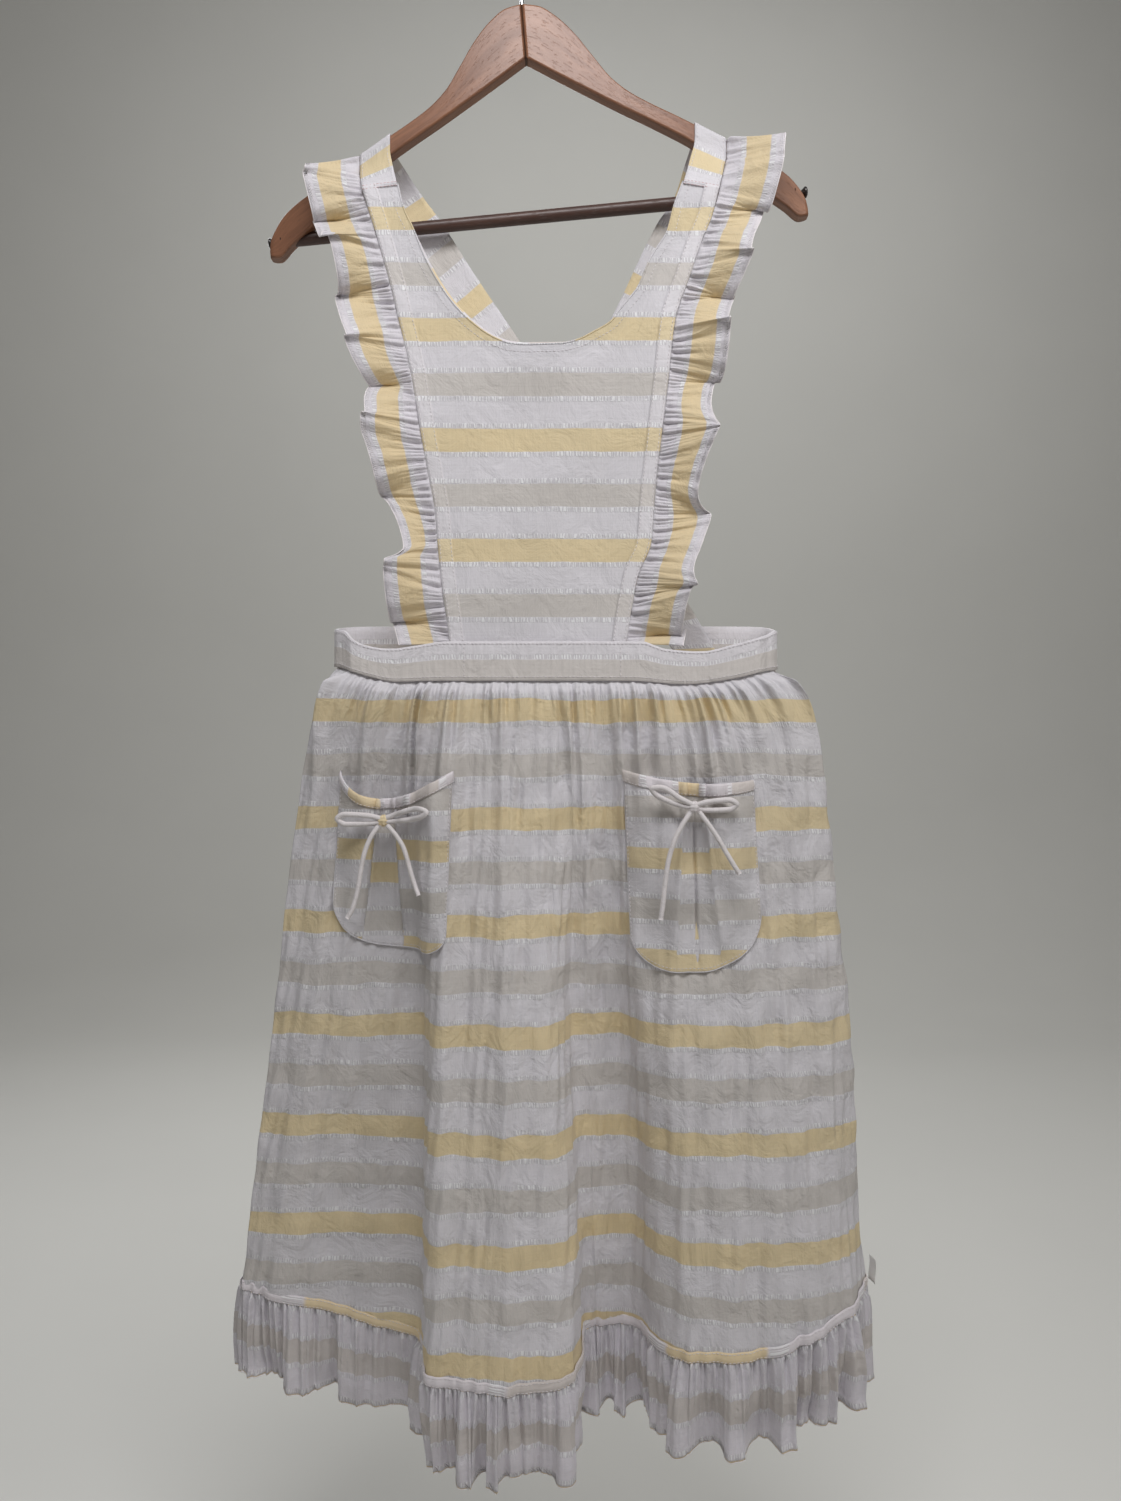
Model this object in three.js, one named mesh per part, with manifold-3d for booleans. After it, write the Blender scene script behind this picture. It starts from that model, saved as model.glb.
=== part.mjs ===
// A gathered, ruffled bib apron on a wooden coat hanger with a swivel hook.
// Millimetres. The origin is the inner crown of the hook, where it rests on a rail. +Z is up,
// +X is to the right of someone facing the bib, and -Y points from the apron to that person.
import * as THREE from "three";
import { mergeVertices } from "three/addons/utils/BufferGeometryUtils.js";
import Module from "manifold-3d";

// ---- driving dimensions ----
const TILT_DEG = 4.55; // the hanger leans, right end up
const WIRE_D = 3.5; // hook wire
const HOOK_R = 20; // hook's arc, to the wire's centre
const BORE_D = 4.2; // hole for the shank
const ARM_T = 13; // thickness of the wood
const ARM_SWEEP = 38; // how far back each tip lies
const ARM_HALF = 224; // centre to tip
const BAR_D = 10.5; // trouser bar
const BAR_Y = 36;
const BAR_Z = -223;
const CLOTH = 1.6; // one layer as a solid
const TRIM = 1.0; // facings and strips
const BAND = 2.4; // waistband, two layers folded
const RUFFLE = 44; // width of a bib ruffle
const HEM_RUFFLE = 72; // depth of the hem ruffle
const CORD_D = 3.6; // pocket ties

const wasm = await Module();
wasm.setup();
const group = new THREE.Group();
group.name = "apron_on_hanger";

const MAT = {
  chrome: new THREE.MeshStandardMaterial({ color: 0xc9ccd0, roughness: 0.18, metalness: 1 }),
  wood: new THREE.MeshStandardMaterial({ color: 0xa06c50, roughness: 0.45, metalness: 0 }),
  dark_wood: new THREE.MeshStandardMaterial({ color: 0x52342b, roughness: 0.5, metalness: 0 }),
  screw: new THREE.MeshStandardMaterial({ color: 0x2a2321, roughness: 0.3, metalness: 0.8 }),
  cloth: new THREE.MeshStandardMaterial({ color: 0xe3d9c8, roughness: 0.9, metalness: 0 }),
  trim: new THREE.MeshStandardMaterial({ color: 0xe8dcd6, roughness: 0.9, metalness: 0 }),
  cord: new THREE.MeshStandardMaterial({ color: 0xd9cdbf, roughness: 0.9, metalness: 0 }),
  label: new THREE.MeshStandardMaterial({ color: 0xf2f0ec, roughness: 0.7, metalness: 0 }),
};

function closed(g) {
  g.deleteAttribute("normal");
  g.deleteAttribute("uv");
  const m = mergeVertices(g, 1e-4);
  m.computeVertexNormals();
  return m;
}
function volume(g) {
  const p = g.attributes.position, i = g.index.array;
  let v = 0;
  const a = new THREE.Vector3(), b = new THREE.Vector3(), c = new THREE.Vector3();
  for (let k = 0; k < i.length; k += 3) {
    a.fromBufferAttribute(p, i[k]);
    b.fromBufferAttribute(p, i[k + 1]);
    c.fromBufferAttribute(p, i[k + 2]);
    v += a.dot(b.cross(c)) / 6;
  }
  return v;
}
function outward(g) {
  if (volume(g) < 0) {
    const i = g.index.array;
    for (let k = 0; k < i.length; k += 3) [i[k + 1], i[k + 2]] = [i[k + 2], i[k + 1]];
    g.computeVertexNormals();
  }
  return g;
}
function add(name, g, mat, parent = group) {
  const m = new THREE.Mesh(g, MAT[mat]);
  m.name = name;
  parent.add(m);
  return m;
}
function toSolid(g) {
  const m = closed(g.index ? g.toNonIndexed() : g.clone());
  return new wasm.Manifold(
    new wasm.Mesh({
      numProp: 3,
      vertProperties: new Float32Array(m.attributes.position.array),
      triVerts: new Uint32Array(m.index.array),
    }),
  );
}
function toGeometry(s) {
  const m = s.getMesh(), v = new Float32Array(m.numVert * 3);
  for (let i = 0; i < m.numVert; i++)
    v.set(m.vertProperties.subarray(i * m.numProp, i * m.numProp + 3), i * 3);
  const g = new THREE.BufferGeometry()
    .setAttribute("position", new THREE.BufferAttribute(v, 3))
    .setIndex(new THREE.BufferAttribute(new Uint32Array(m.triVerts), 1));
  g.computeVertexNormals();
  return g;
}

const V = (x, y, z) => new THREE.Vector3(x, y, z);
const lerp = (a, b, t) => a + (b - a) * t;
const clamp = (x, a, b) => Math.min(b, Math.max(a, x));
const smooth = (t) => { t = clamp(t, 0, 1); return t * t * (3 - 2 * t); };
// Piecewise-linear table with rows [key, value].
function table(rows) {
  return (k) => {
    if (k <= rows[0][0]) return rows[0][1];
    for (let i = 1; i < rows.length; i++)
      if (k <= rows[i][0])
        return lerp(rows[i - 1][1], rows[i][1], (k - rows[i - 1][0]) / (rows[i][0] - rows[i - 1][0]));
    return rows[rows.length - 1][1];
  };
}

// A layer of cloth: a box of nu by nv cells, its middle surface laid on at(u, v), thick t.
function cloth(nu, nv, at, t) {
  const g = closed(new THREE.BoxGeometry(1, 1, 1, nu, nv, 1));
  const p = g.attributes.position, e = 1e-3;
  for (let i = 0; i < p.count; i++) {
    const u = p.getX(i) + 0.5, v = p.getY(i) + 0.5, s = p.getZ(i);
    const u0 = Math.max(0, u - e), u1 = Math.min(1, u + e);
    const v0 = Math.max(0, v - e), v1 = Math.min(1, v + e);
    const n = at(u1, v).sub(at(u0, v)).cross(at(u, v1).sub(at(u, v0))).normalize();
    const q = at(u, v).addScaledVector(n, s * t);
    p.setXYZ(i, q.x, q.y, q.z);
  }
  return outward(g);
}
// A strip between two edges, each a list of points at the same stations.
function strip(left, right) {
  const a = new THREE.CatmullRomCurve3(left, false, "centripetal");
  const b = new THREE.CatmullRomCurve3(right, false, "centripetal");
  return (u, v) => a.getPoint(v).lerp(b.getPoint(v), u);
}
function tube(points, d, sides, steps) {
  const shape = new THREE.Shape();
  for (let i = 0; i < sides; i++) {
    const a = (2 * Math.PI * i) / sides;
    if (i) shape.lineTo((d / 2) * Math.cos(a), (d / 2) * Math.sin(a));
    else shape.moveTo(d / 2, 0);
  }
  const path = new THREE.CatmullRomCurve3(points, false, "centripetal");
  return outward(closed(new THREE.ExtrudeGeometry(shape, { steps, bevelEnabled: false, extrudePath: path })));
}

// ---- hanger, built level and then tilted about the hook's crown ----
const hanger = new THREE.Group();
hanger.name = "hanger";
hanger.rotation.y = THREE.MathUtils.degToRad(-TILT_DEG);
group.add(hanger);
const TH = THREE.MathUtils.degToRad(TILT_DEG);
const level = (x, z) => [x * Math.cos(TH) + z * Math.sin(TH), -x * Math.sin(TH) + z * Math.cos(TH)];
const sweep = (x) => ARM_SWEEP * Math.pow(Math.abs(x) / ARM_HALF, 1.3);

// Hook wire, in the hanger's level frame: tip, arc over the crown, neck, shank in the wood.
{
  const [cx, cz] = level(0, -(HOOK_R - WIRE_D / 2));
  const pts = [];
  for (let a = 205; a >= -48; a -= 11.5) {
    const r = THREE.MathUtils.degToRad(a);
    pts.push(V(cx + HOOK_R * Math.cos(r), 0, cz + HOOK_R * Math.sin(r)));
  }
  pts.push(V(6.6, 0, -39.5), V(1.6, 0, -46), V(0, 0, -54), V(0, 0, -64), V(0, 0, -76), V(0, 0, -88), V(0, 0, -98));
  const wire = tube(pts, WIRE_D, 9, 48);
  add("hook_wire", wire, "chrome", hanger);
}

// Arms: half outlines in x and z, extruded through the thickness, then swept back.
const ARM_TOP = [[0, -72], [13, -74], [26, -82], [40, -96], [53, -113.5], [66, -130.5], [80, -142], [96, -150.8],
  [118, -161], [150, -176.5], [180, -191.5], [198, -200.5], [208.5, -208], [217, -218], [222, -227], [223.6, -234], [221.5, -240]];
const ARM_LOW = [[0, -115.5], [20, -127], [44, -140], [72, -154.5], [98, -167], [130, -183.5], [155, -201], [180, -217], [204, -233], [216, -241.5], [223.4, -240]];
function arm(side) {
  // columns along the arm; the long edges are eased by drawing the thickness in at the first and last rows
  const NX = 26, ROWS = [0, 0.07, 0.5, 0.93, 1], DRAW = [0.72, 1, 1, 1, 0.72];
  const g = closed(new THREE.BoxGeometry(1, 1, 1, NX, 4, 1));
  const p = g.attributes.position, top = table(ARM_TOP.slice(0, -1)), low = table(ARM_LOW);
  for (let i = 0; i < p.count; i++) {
    const u = p.getX(i) + 0.5, r = Math.round((p.getY(i) + 0.5) * 4);
    const x = 0.2 + (223.4 - 0.2) * (u < 0.9 ? u : 0.9 + 0.1 * Math.sin(((u - 0.9) / 0.1) * Math.PI / 2));
    const z = lerp(low(x), top(x), ROWS[r]);
    p.setXYZ(i, side * x, sweep(x) + p.getZ(i) * ARM_T * DRAW[r] * (u > 0.999 ? 0.8 : 1), z);
  }
  let solid = toSolid(outward(g));
  const cut = (c, rx, x, y, z) => {
    if (rx) c.rotateZ(Math.PI / 2);
    else c.rotateX(Math.PI / 2);
    c.translate(x, y, z);
    solid = solid.subtract(toSolid(c));
  };
  cut(new THREE.CylinderGeometry(BORE_D / 2, BORE_D / 2, 40, 14), false, 0, 0, -80); // hole for the shank
  cut(new THREE.CylinderGeometry(BAR_D / 2 + 0.45, BAR_D / 2 + 0.45, 54.5, 16), true, side * (214.5 - 27.25), BAR_Y, BAR_Z); // seat for the bar
  cut(new THREE.CylinderGeometry(2.1, 2.1, 30, 12), true, side * 219, BAR_Y, BAR_Z); // hole for the screw
  return toGeometry(solid);
}
add("hanger_arm_left", arm(-1), "wood", hanger);
add("hanger_arm_right", arm(1), "wood", hanger);

// Trouser bar between the tips, and a screw through each tip into its end.
{
  const bar = closed(new THREE.CylinderGeometry(BAR_D / 2, BAR_D / 2, 2 * 213.7, 16));
  bar.rotateZ(Math.PI / 2);
  bar.translate(0, BAR_Y, BAR_Z);
  let s = toSolid(bar);
  for (const side of [-1, 1]) {
    const h = new THREE.CylinderGeometry(2.1, 2.1, 22, 12);
    h.rotateZ(Math.PI / 2);
    h.translate(side * 212, BAR_Y, BAR_Z);
    s = s.subtract(toSolid(h));
  }
  add("trouser_bar", toGeometry(s), "dark_wood", hanger);
  for (const side of [-1, 1]) {
    const prof = [[0, 0], [4.6, 0], [4.6, 1.2], [3, 2.3], [1.7, 2.3], [1.7, 22], [0, 22]].map(([r, h]) => new THREE.Vector2(r, h));
    const g = closed(new THREE.LatheGeometry(prof, 12));
    g.rotateZ((side * Math.PI) / 2);
    g.translate(side * 226.3, BAR_Y, BAR_Z);
    add(side < 0 ? "bar_screw_left" : "bar_screw_right", outward(g), "screw", hanger);
  }
}

// ---- apron ----
const bibY = () => -2; // the bib hangs in one plane

// Outer and inner outlines of the bib and its straps, from the shoulder seam down.
const OUT_L = [[-121.9, -216], [-113.3, -243], [-105, -271.4], [-97.8, -297], [-92.5, -320], [-87.9, -338.6], [-81.5, -369.4],
  [-75.1, -408], [-68.7, -444.7], [-63.2, -475.7], [-61.3, -499.5], [-57.7, -534.3], [-54, -558], [-50.4, -592]];
const OUT_R = [[162.6, -215.7], [157.1, -238], [149.1, -258], [139.5, -285.8], [127.4, -322], [121.9, -369.7], [116.5, -415.4],
  [111.9, -457.5], [108.2, -499.5], [98.1, -525], [92.6, -552.6], [87, -592]];
const NECK = [[-93.5, -212.5], [-88.9, -231.6], [-81.1, -248.8], [-70.4, -274.4], [-59, -294.3], [-47.6, -310], [-33.4, -324.1],
  [-16.3, -335.5], [-2.2, -340.6], [12.1, -341.9], [36, -341.2], [50.3, -337.7], [61.5, -332], [77.4, -322.4], [83, -314.4],
  [90.2, -305.7], [97.3, -296.9], [101.3, -288.9], [106.9, -274.6], [115.7, -260.3], [121.2, -251.5], [127, -230.3], [134, -211]];
{
  const s = new THREE.Shape();
  const pts = [...OUT_L, ...[...OUT_R].reverse(), ...[...NECK].reverse()];
  s.moveTo(...pts[0]);
  for (const q of pts.slice(1)) s.lineTo(...q);
  s.closePath();
  const g = closed(new THREE.ExtrudeGeometry(s, { depth: CLOTH, bevelEnabled: false, steps: 1 }));
  const p = g.attributes.position;
  for (let i = 0; i < p.count; i++) {
    const x = p.getX(i), z = p.getY(i), d = p.getZ(i) - CLOTH / 2;
    p.setXYZ(i, x, bibY(z) + d, z);
  }
  add("bib_panel", outward(g), "cloth");
}
const curve2 = (pts) => new THREE.CatmullRomCurve3(pts.map(([x, z]) => V(x, 0, z)), false, "centripetal");
// A strip beside a curve in the bib's plane: from a to b across it, at a fixed distance in y.
function beside(pts, a, b, dy, nv, t, side) {
  const c = curve2(pts);
  return cloth(1, nv, (u, v) => {
    const q = c.getPoint(v), d = c.getTangent(v), w = lerp(a, b, u);
    const x = q.x + side * -d.z * w, z = q.z + side * d.x * w;
    return V(x, bibY(z) + dy, z);
  }, t);
}
const FRONT_DY = -(CLOTH / 2 + 0.35 + TRIM / 2), BACK_DY = CLOTH / 2 + 0.35 + TRIM / 2;
add("bib_edge_strip_left", beside(OUT_L, 1, 13, FRONT_DY, 14, TRIM, 1), "trim");
add("bib_edge_strip_right", beside(OUT_R, 1, 13, FRONT_DY, 14, TRIM, -1), "trim");
add("neckline_facing", beside(NECK, -10, 1.5, BACK_DY, 30, TRIM, 1), "cloth");

// Back straps: from the shoulder seam up the front of the arm, over it, and down across the back.
const armTopWorld = (x) => {
  // height of the arm's top edge above the point x, in the tilted frame
  const s = Math.sin(TH), c = Math.cos(TH);
  let xl = x * c;
  for (let k = 0; k < 4; k++) {
    const zl = table(ARM_TOP)(Math.abs(xl));
    xl = (x + zl * s) / c;
  }
  const zl = table(ARM_TOP)(Math.abs(xl));
  return [xl * s + zl * c, sweep(xl)];
};
function overArm(x, k) {
  // k runs from 0 at the front of the arm to 1 at its back, round the top edge
  const [zt, y0] = armTopWorld(x);
  const r = ARM_T / 2 + CLOTH / 2 + 1.1;
  const a = Math.PI * (1 - k);
  return V(x, y0 + r * Math.cos(a), zt + 1.2 + CLOTH / 2 + 3.2 * Math.sin(a) - 3.0);
}
function backStrap(outer0, inner0, xo, xi, endO, endI, yBack, barClear) {
  const L = [], R = [];
  // the seam on the front
  L.push(V(outer0[0], bibY(outer0[1]) - 0.2, outer0[1] + 0.6));
  R.push(V(inner0[0], bibY(inner0[1]) - 0.2, inner0[1] + 0.6));
  for (const [x, list] of [[xo, L], [xi, R]]) {
    const [zt, y0] = armTopWorld(x);
    const yf = y0 - ARM_T / 2 - CLOTH / 2 - 0.7, yb = y0 + ARM_T / 2 + CLOTH / 2 + 0.7;
    list.push(V(x, Math.min(yf, yf), zt - 14));
    list.push(V(x, yf, zt - 1));
    list.push(V(x, yf + 2.2, zt + 1.9));
    list.push(V(x, y0, zt + 2.6));
    list.push(V(x, yb - 2.2, zt + 1.9));
    list.push(V(x, yb, zt - 1));
  }
  return { L, R };
}
function finishStrap(name, s, ends) {
  for (const [l, r] of ends) { s.L.push(l); s.R.push(r); }
  add(name, cloth(2, 34, strip(s.L, s.R), CLOTH), "cloth");
}
{
  // left shoulder to the right end of the back band
  const s = backStrap([-121.9, -216], [-93.5, -212.5], -126, -101, null, null);
  finishStrap("back_strap_left", s, [
    [V(-124, 40, -213), V(-92, 34, -190)],
    [V(-117, 43.6, -224), V(-82, 43.2, -212)],
    [V(-108, 44.6, -240), V(-70, 44.2, -226)],
    [V(-34, 45.5, -331), V(-6, 45.5, -313)],
    [V(25, 46, -419), V(53, 46, -401)],
    [V(84, 46, -506), V(112, 46, -488)],
    [V(134, 47, -586), V(170, 47, -586)],
  ]);
}
{
  // right shoulder to the left end of the back band, behind the other one where they cross
  const s = backStrap([162.6, -215.7], [134, -211], 171, 145, null, null);
  finishStrap("back_strap_right", s, [
    [V(166, 43.8, -201), V(138, 35, -184)],
    [V(160, 46, -219), V(131, 44, -203)],
    [V(151, 47, -240), V(118, 45.4, -222)],
    [V(108, 50, -319), V(78, 50, -303)],
    [V(55, 50.5, -417), V(25, 50.5, -401)],
    [V(8, 49, -506), V(-22, 49, -490)],
    [V(-34, 47, -586), V(-70, 47, -586)],
  ]);
}

// Bib ruffles: gathered on the strap's outer edge, from behind the shoulder, over it, down to the waist.
function bibRuffle(side, inner, outer, phase) {
  const a = new THREE.CatmullRomCurve3(inner, false, "centripetal");
  const b = new THREE.CatmullRomCurve3(outer, false, "centripetal");
  return cloth(2, 44, (u, v) => {
    const p = a.getPoint(v).lerp(b.getPoint(v), u);
    const fade = smooth((v - 0.3) / 0.12) * smooth((1.0 - v) / 0.06);
    p.y += fade * u * (7 * Math.sin(phase + 2 * Math.PI * 4.2 * v) - 6);
    return p;
  }, CLOTH);
}
{
  const inner = [V(-113, 46.4, -252), V(-123, 46, -232), V(-131.5, 43, -212), V(-135, 34, -190), V(-134, 18.5, -180), V(-131, 6, -189), V(-126.5, 0, -210)];
  for (const [x, z] of OUT_L.slice(1, -1)) inner.push(V(x - 2.2, bibY(z), z));
  inner.push(V(-53.5, -2, -573));
  const outer = [V(-124, 52, -258), V(-146, 50, -240), V(-166, 46, -214), V(-171, 37, -194), V(-171, 16, -190), V(-170, 2, -197), V(-162, -4, -222),
    V(-152, -7, -252), V(-144, -8, -278), V(-139, -9, -300), V(-136, -9, -322), V(-130, -10, -345), V(-120, -10, -378), V(-124, -12, -415), V(-116, -10, -450), V(-110, -9, -486), V(-102, -8, -522), V(-98, -6, -552), V(-90, -5, -573)];
  add("bib_ruffle_left", bibRuffle(-1, inner, outer, 0.4), "cloth");
}
{
  const inner = [V(153, 50, -246), V(163, 49, -226), V(172, 45, -204), V(178.5, 37, -173), V(179, 20, -163), V(176.5, 8, -174), V(168, 0, -208)];
  for (const [x, z] of OUT_R.slice(1, -1)) inner.push(V(x + 2.2, bibY(z), z));
  inner.push(V(91.5, -2, -573));
  const outer = [V(164, 56, -254), V(184, 54, -234), V(208, 49, -204), V(219, 39, -172), V(221, 16, -164), V(217, 2, -171), V(207, -4, -211),
    V(198, -7, -236), V(186, -8, -262), V(176, -9, -292), V(172, -9, -316), V(170, -10, -336), V(160, -11, -372), V(167, -12, -414), V(152, -10, -456), V(158, -9, -492), V(146, -7, -532), V(134, -5, -573)];
  add("bib_ruffle_right", bibRuffle(1, inner, outer, 1.2), "cloth");
}

// Waistband: the front dips near both ends, and the ends fold round to the back.
const bandTop = table([[-143, -567], [-139, -567.5], [-123, -579.7], [-99, -583.9], [-82, -582], [-52, -578], [100, -578], [120, -584], [147, -586], [173, -580.7], [204, -571], [209, -568]]);
const bandLow = table([[-143, -596.5], [-118, -605.2], [-94, -610], [-58, -609.3], [88, -609.3], [137, -612], [173, -607.7], [205, -600.4], [209, -600]]);
const bandY = (x) => -6.4 + 12 * smooth((-125 - x) / 18) + 12 * smooth((x - 190) / 18);
add("waistband_front", cloth(24, 1, (u, v) => {
  const x = lerp(-142.5, 207.5, u);
  return V(x, bandY(x), lerp(bandLow(x), bandTop(x), v));
}, BAND), "cloth");
function backBand(x0, x1, s) {
  // from the side fold x0 round to the end x1
  return cloth(12, 1, (u, v) => {
    const k = smooth(u / 0.3);
    const x = u < 0.3 ? x0 - s * 3 * Math.sin((Math.PI * u) / 0.6) + s * 0 : lerp(x0 - s * 3, x1, (u - 0.3) / 0.7);
    const y = u < 0.3 ? lerp(7.2, 46, u / 0.3) : lerp(46, 51, smooth((u - 0.3) / 0.25));
    const zt = lerp(-566.5, -560, k), zl = lerp(-597, -592, k);
    return V(x, y, lerp(zl, zt, v));
  }, BAND);
}
add("waistband_back_left", backBand(-143.4, -31, 1), "cloth");
add("waistband_back_right", backBand(208.6, 131, -1), "cloth");

// Skirt: a straight gathered edge under the band opens into deep folds at the hem.
// Rows are [s, x, y]: s runs along the hem from the left side seam to the right one.
const HEM_PATH = [[0, -232, 50], [0.05, -208, 46], [0.12, -160, 47], [0.18, -112, 46], [0.21, -85, 38], [0.23, -75.5, 14], [0.25, -71, -10], [0.275, -61, -22], [0.33, -33, -27],
  [0.4, 0, -28], [0.45, 34, -25], [0.475, 45, -14], [0.495, 48, 10], [0.52, 51, 36], [0.55, 66, 49], [0.6, 92, 46], [0.64, 107, 28], [0.67, 118, 2],
  [0.71, 140, -19], [0.78, 185, -24], [0.86, 232, -18], [0.93, 268, -2], [0.98, 286, 20], [1, 289, 32]];
const hemX = new THREE.CatmullRomCurve3(HEM_PATH.map(([s, x, y]) => V(x, y, s * 600)), false, "centripetal");
const HEM_Z = [[0, -1117], [0.05, -1124], [0.12, -1134], [0.2, -1151], [0.25, -1158], [0.32, -1161], [0.4, -1163], [0.47, -1158], [0.55, -1146], [0.62, -1146], [0.71, -1142], [0.78, -1139], [0.86, -1126], [0.93, -1112], [1, -1098]];
const hemZ = table(HEM_Z);
const pathAt = (() => {
  // look-up of the smooth hem path by s
  const N = 240, pts = [];
  for (let i = 0; i <= N; i++) pts.push(hemX.getPoint(i / N));
  return (s) => {
    const k = s * 600;
    for (let i = 1; i <= N; i++)
      if (pts[i].z >= k || i === N) {
        const t = clamp((k - pts[i - 1].z) / (pts[i].z - pts[i - 1].z || 1), 0, 1);
        return [lerp(pts[i - 1].x, pts[i].x, t), lerp(pts[i - 1].y, pts[i].y, t)];
      }
  };
})();
// The gathers make each side stand out below the band: how far, at the left and right seams.
const flareL = (d) => 16 * (1 - Math.exp(-clamp(d, 0, 1) / 0.05)) * Math.pow(1 - clamp(d, 0, 1), 1.2);
const flareR = (d) => 28 * (1 - Math.exp(-clamp(d, 0, 1) / 0.05)) * Math.pow(1 - clamp(d, 0, 1), 0.8);
// A point of the front panel: s across, d from 0 at the band to 1 at the hem, past 1 in the ruffle.
function skirt(s, d) {
  const xw = lerp(-142.5, 207.5, s), yw = bandY(xw), zw = bandLow(xw) - 0.4;
  const [xh, yh] = pathAt(s), zh = hemZ(s);
  const k = Math.pow(clamp(d, 0, 1.2), 0.94);
  const f = s < 0.5 ? -flareL(d) * Math.pow(1 - 2 * s, 2) : flareR(d) * Math.pow(2 * s - 1, 2);
  return V(lerp(xw, xh, k) + f, lerp(yw, yh, k), lerp(zw, zh, d));
}
const D_TOP = 0.002, D_HEM = 1;
add("skirt_front", cloth(56, 5, (u, v) => skirt(u, lerp(D_HEM, D_TOP, v)), CLOTH), "cloth");
// An offset point in front of the panel, along its own normal.
function ahead(s, d, off) {
  const e = 2e-3;
  const a = skirt(Math.max(0, s - e), d), b = skirt(Math.min(1, s + e), d);
  const n = V(b.x - a.x, b.y - a.y, 0).normalize();
  return skirt(s, d).add(V(n.y, -n.x, 0).multiplyScalar(off));
}
const BIND_OFF = CLOTH / 2 + 0.7 + TRIM / 2;
add("hem_binding_front", cloth(56, 1, (u, v) => ahead(lerp(0.002, 0.998, u), lerp(1.0, 0.984, v), BIND_OFF), TRIM), "trim");
function hemRuffle(path, nu, waves, amp, phase) {
  return cloth(nu, 2, (u, v) => {
    const [p, n] = path(u);
    const w = 1 - v; // 0 at the seam
    const q = p.clone().addScaledVector(n, amp * w * Math.sin(phase + 2 * Math.PI * waves * u) + 2 * w);
    q.z -= 0.5 + HEM_RUFFLE * w * (1 + 0.04 * Math.sin(2.7 + 2 * Math.PI * waves * u));
    return q;
  }, CLOTH);
}
add("hem_ruffle_front", hemRuffle((u) => {
  const s = lerp(0.002, 0.998, u), p = skirt(s, 1);
  const n = ahead(s, 1, 1).sub(skirt(s, 1));
  return [p, n];
}, 72, 12, 6, 0.3), "cloth");

// Back panels: from each side seam round to a free back edge.
const BACK_L = { waist: [[0, -143.6, 7.6], [0.3, -146.4, 46], [0.5, -112, 50], [1, -31, 51]], hem: [[0, -233.5, 51.8], [0.12, -236, 66], [0.24, -222, 80], [0.5, -165, 76], [0.75, -110, 88], [1, -52, 78]], zw: [-597.4, -592.4], zh: [-1117, -1106] };
const BACK_R = { waist: [[0, 208.8, 7.6], [0.3, 211.6, 46], [0.5, 185, 50], [1, 131, 51]], hem: [[0, 290.4, 33.9], [0.12, 292, 52], [0.24, 276, 72], [0.5, 220, 78], [0.75, 160, 90], [1, 104, 80]], zw: [-597.6, -592.4], zh: [-1098, -1104] };
function backAt(B) {
  const w = new THREE.CatmullRomCurve3(B.waist.map(([s, x, y]) => V(x, y, 0)), false, "centripetal");
  const h = new THREE.CatmullRomCurve3(B.hem.map(([s, x, y]) => V(x, y, 0)), false, "centripetal");
  return (s, d) => {
    const a = w.getPoint(s), b = h.getPoint(s);
    const k = Math.pow(clamp(d, 0, 1.2), 0.94), e = smooth(s / 0.3);
    const f = (B === BACK_L ? -flareL(d) : flareR(d)) * Math.pow(1 - s, 2);
    return V(lerp(a.x, b.x, k) + f, lerp(a.y, b.y, k), lerp(lerp(B.zw[0], B.zw[1], e), lerp(B.zh[0], B.zh[1], s), d));
  };
}
for (const [B, nm, side] of [[BACK_L, "left", 1], [BACK_R, "right", -1]]) {
  const at = backAt(B);
  const away = (s, d, off) => {
    const e = 2e-3, a = at(Math.max(0, s - e), d), b = at(Math.min(1, s + e), d);
    const n = V(b.x - a.x, b.y - a.y, 0).normalize();
    // outwards: away from the wearer
    return at(s, d).add(V(-n.y, n.x, 0).multiplyScalar(side * off));
  };
  add("skirt_back_" + nm, cloth(16, 5, (u, v) => at(lerp(0.004, 1, u), lerp(1, D_TOP, v)), CLOTH), "cloth");
  add("hem_binding_back_" + nm, cloth(16, 1, (u, v) => away(lerp(0.012, 0.998, u), lerp(1.0, 0.984, v), BIND_OFF), TRIM), "trim");
  add("hem_ruffle_back_" + nm, hemRuffle((u) => {
    const s = lerp(0.03, 0.998, u), p = at(s, 1);
    return [p, away(s, 1, 1).sub(p)];
  }, 24, 4, 5, 0.8), "cloth");
}

// Pockets: patches on the front panel, their mouths slack and standing off.
function pocketAt(c) {
  // c.x0, c.x1 at the mouth, c.b0, c.b1 at the bottom; c.zt, c.zb heights; c.sag of the mouth
  const findS = (x, d) => {
    let lo = 0, hi = 1;
    for (let i = 0; i < 30; i++) { const m = (lo + hi) / 2; if (skirt(m, d).x < x) lo = m; else hi = m; }
    return lo;
  };
  return (u, v, extra = 0) => {
    // v is 0 at the bottom and 1 at the mouth
    const mid = 4 * u * (1 - u);
    const z = lerp(c.zb(u), c.zt(u), v);
    const x = lerp(lerp(c.b0, c.x0, v), lerp(c.b1, c.x1, v), u);
    let d = 0;
    for (let i = 0; i < 4; i++) { const s = findS(x, clamp(d, 0.02, 1)); const a = skirt(s, 0), b = skirt(s, 1); d = (z - a.z) / (b.z - a.z); }
    const s = findS(x, d), base = skirt(s, d);
    const edge = 5.2;
    const bulge = c.out * Math.pow(mid, 0.6) * Math.pow(smooth(v * 1.15), 0.8);
    return V(x, base.y - edge - bulge - extra, z);
  };
}
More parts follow.
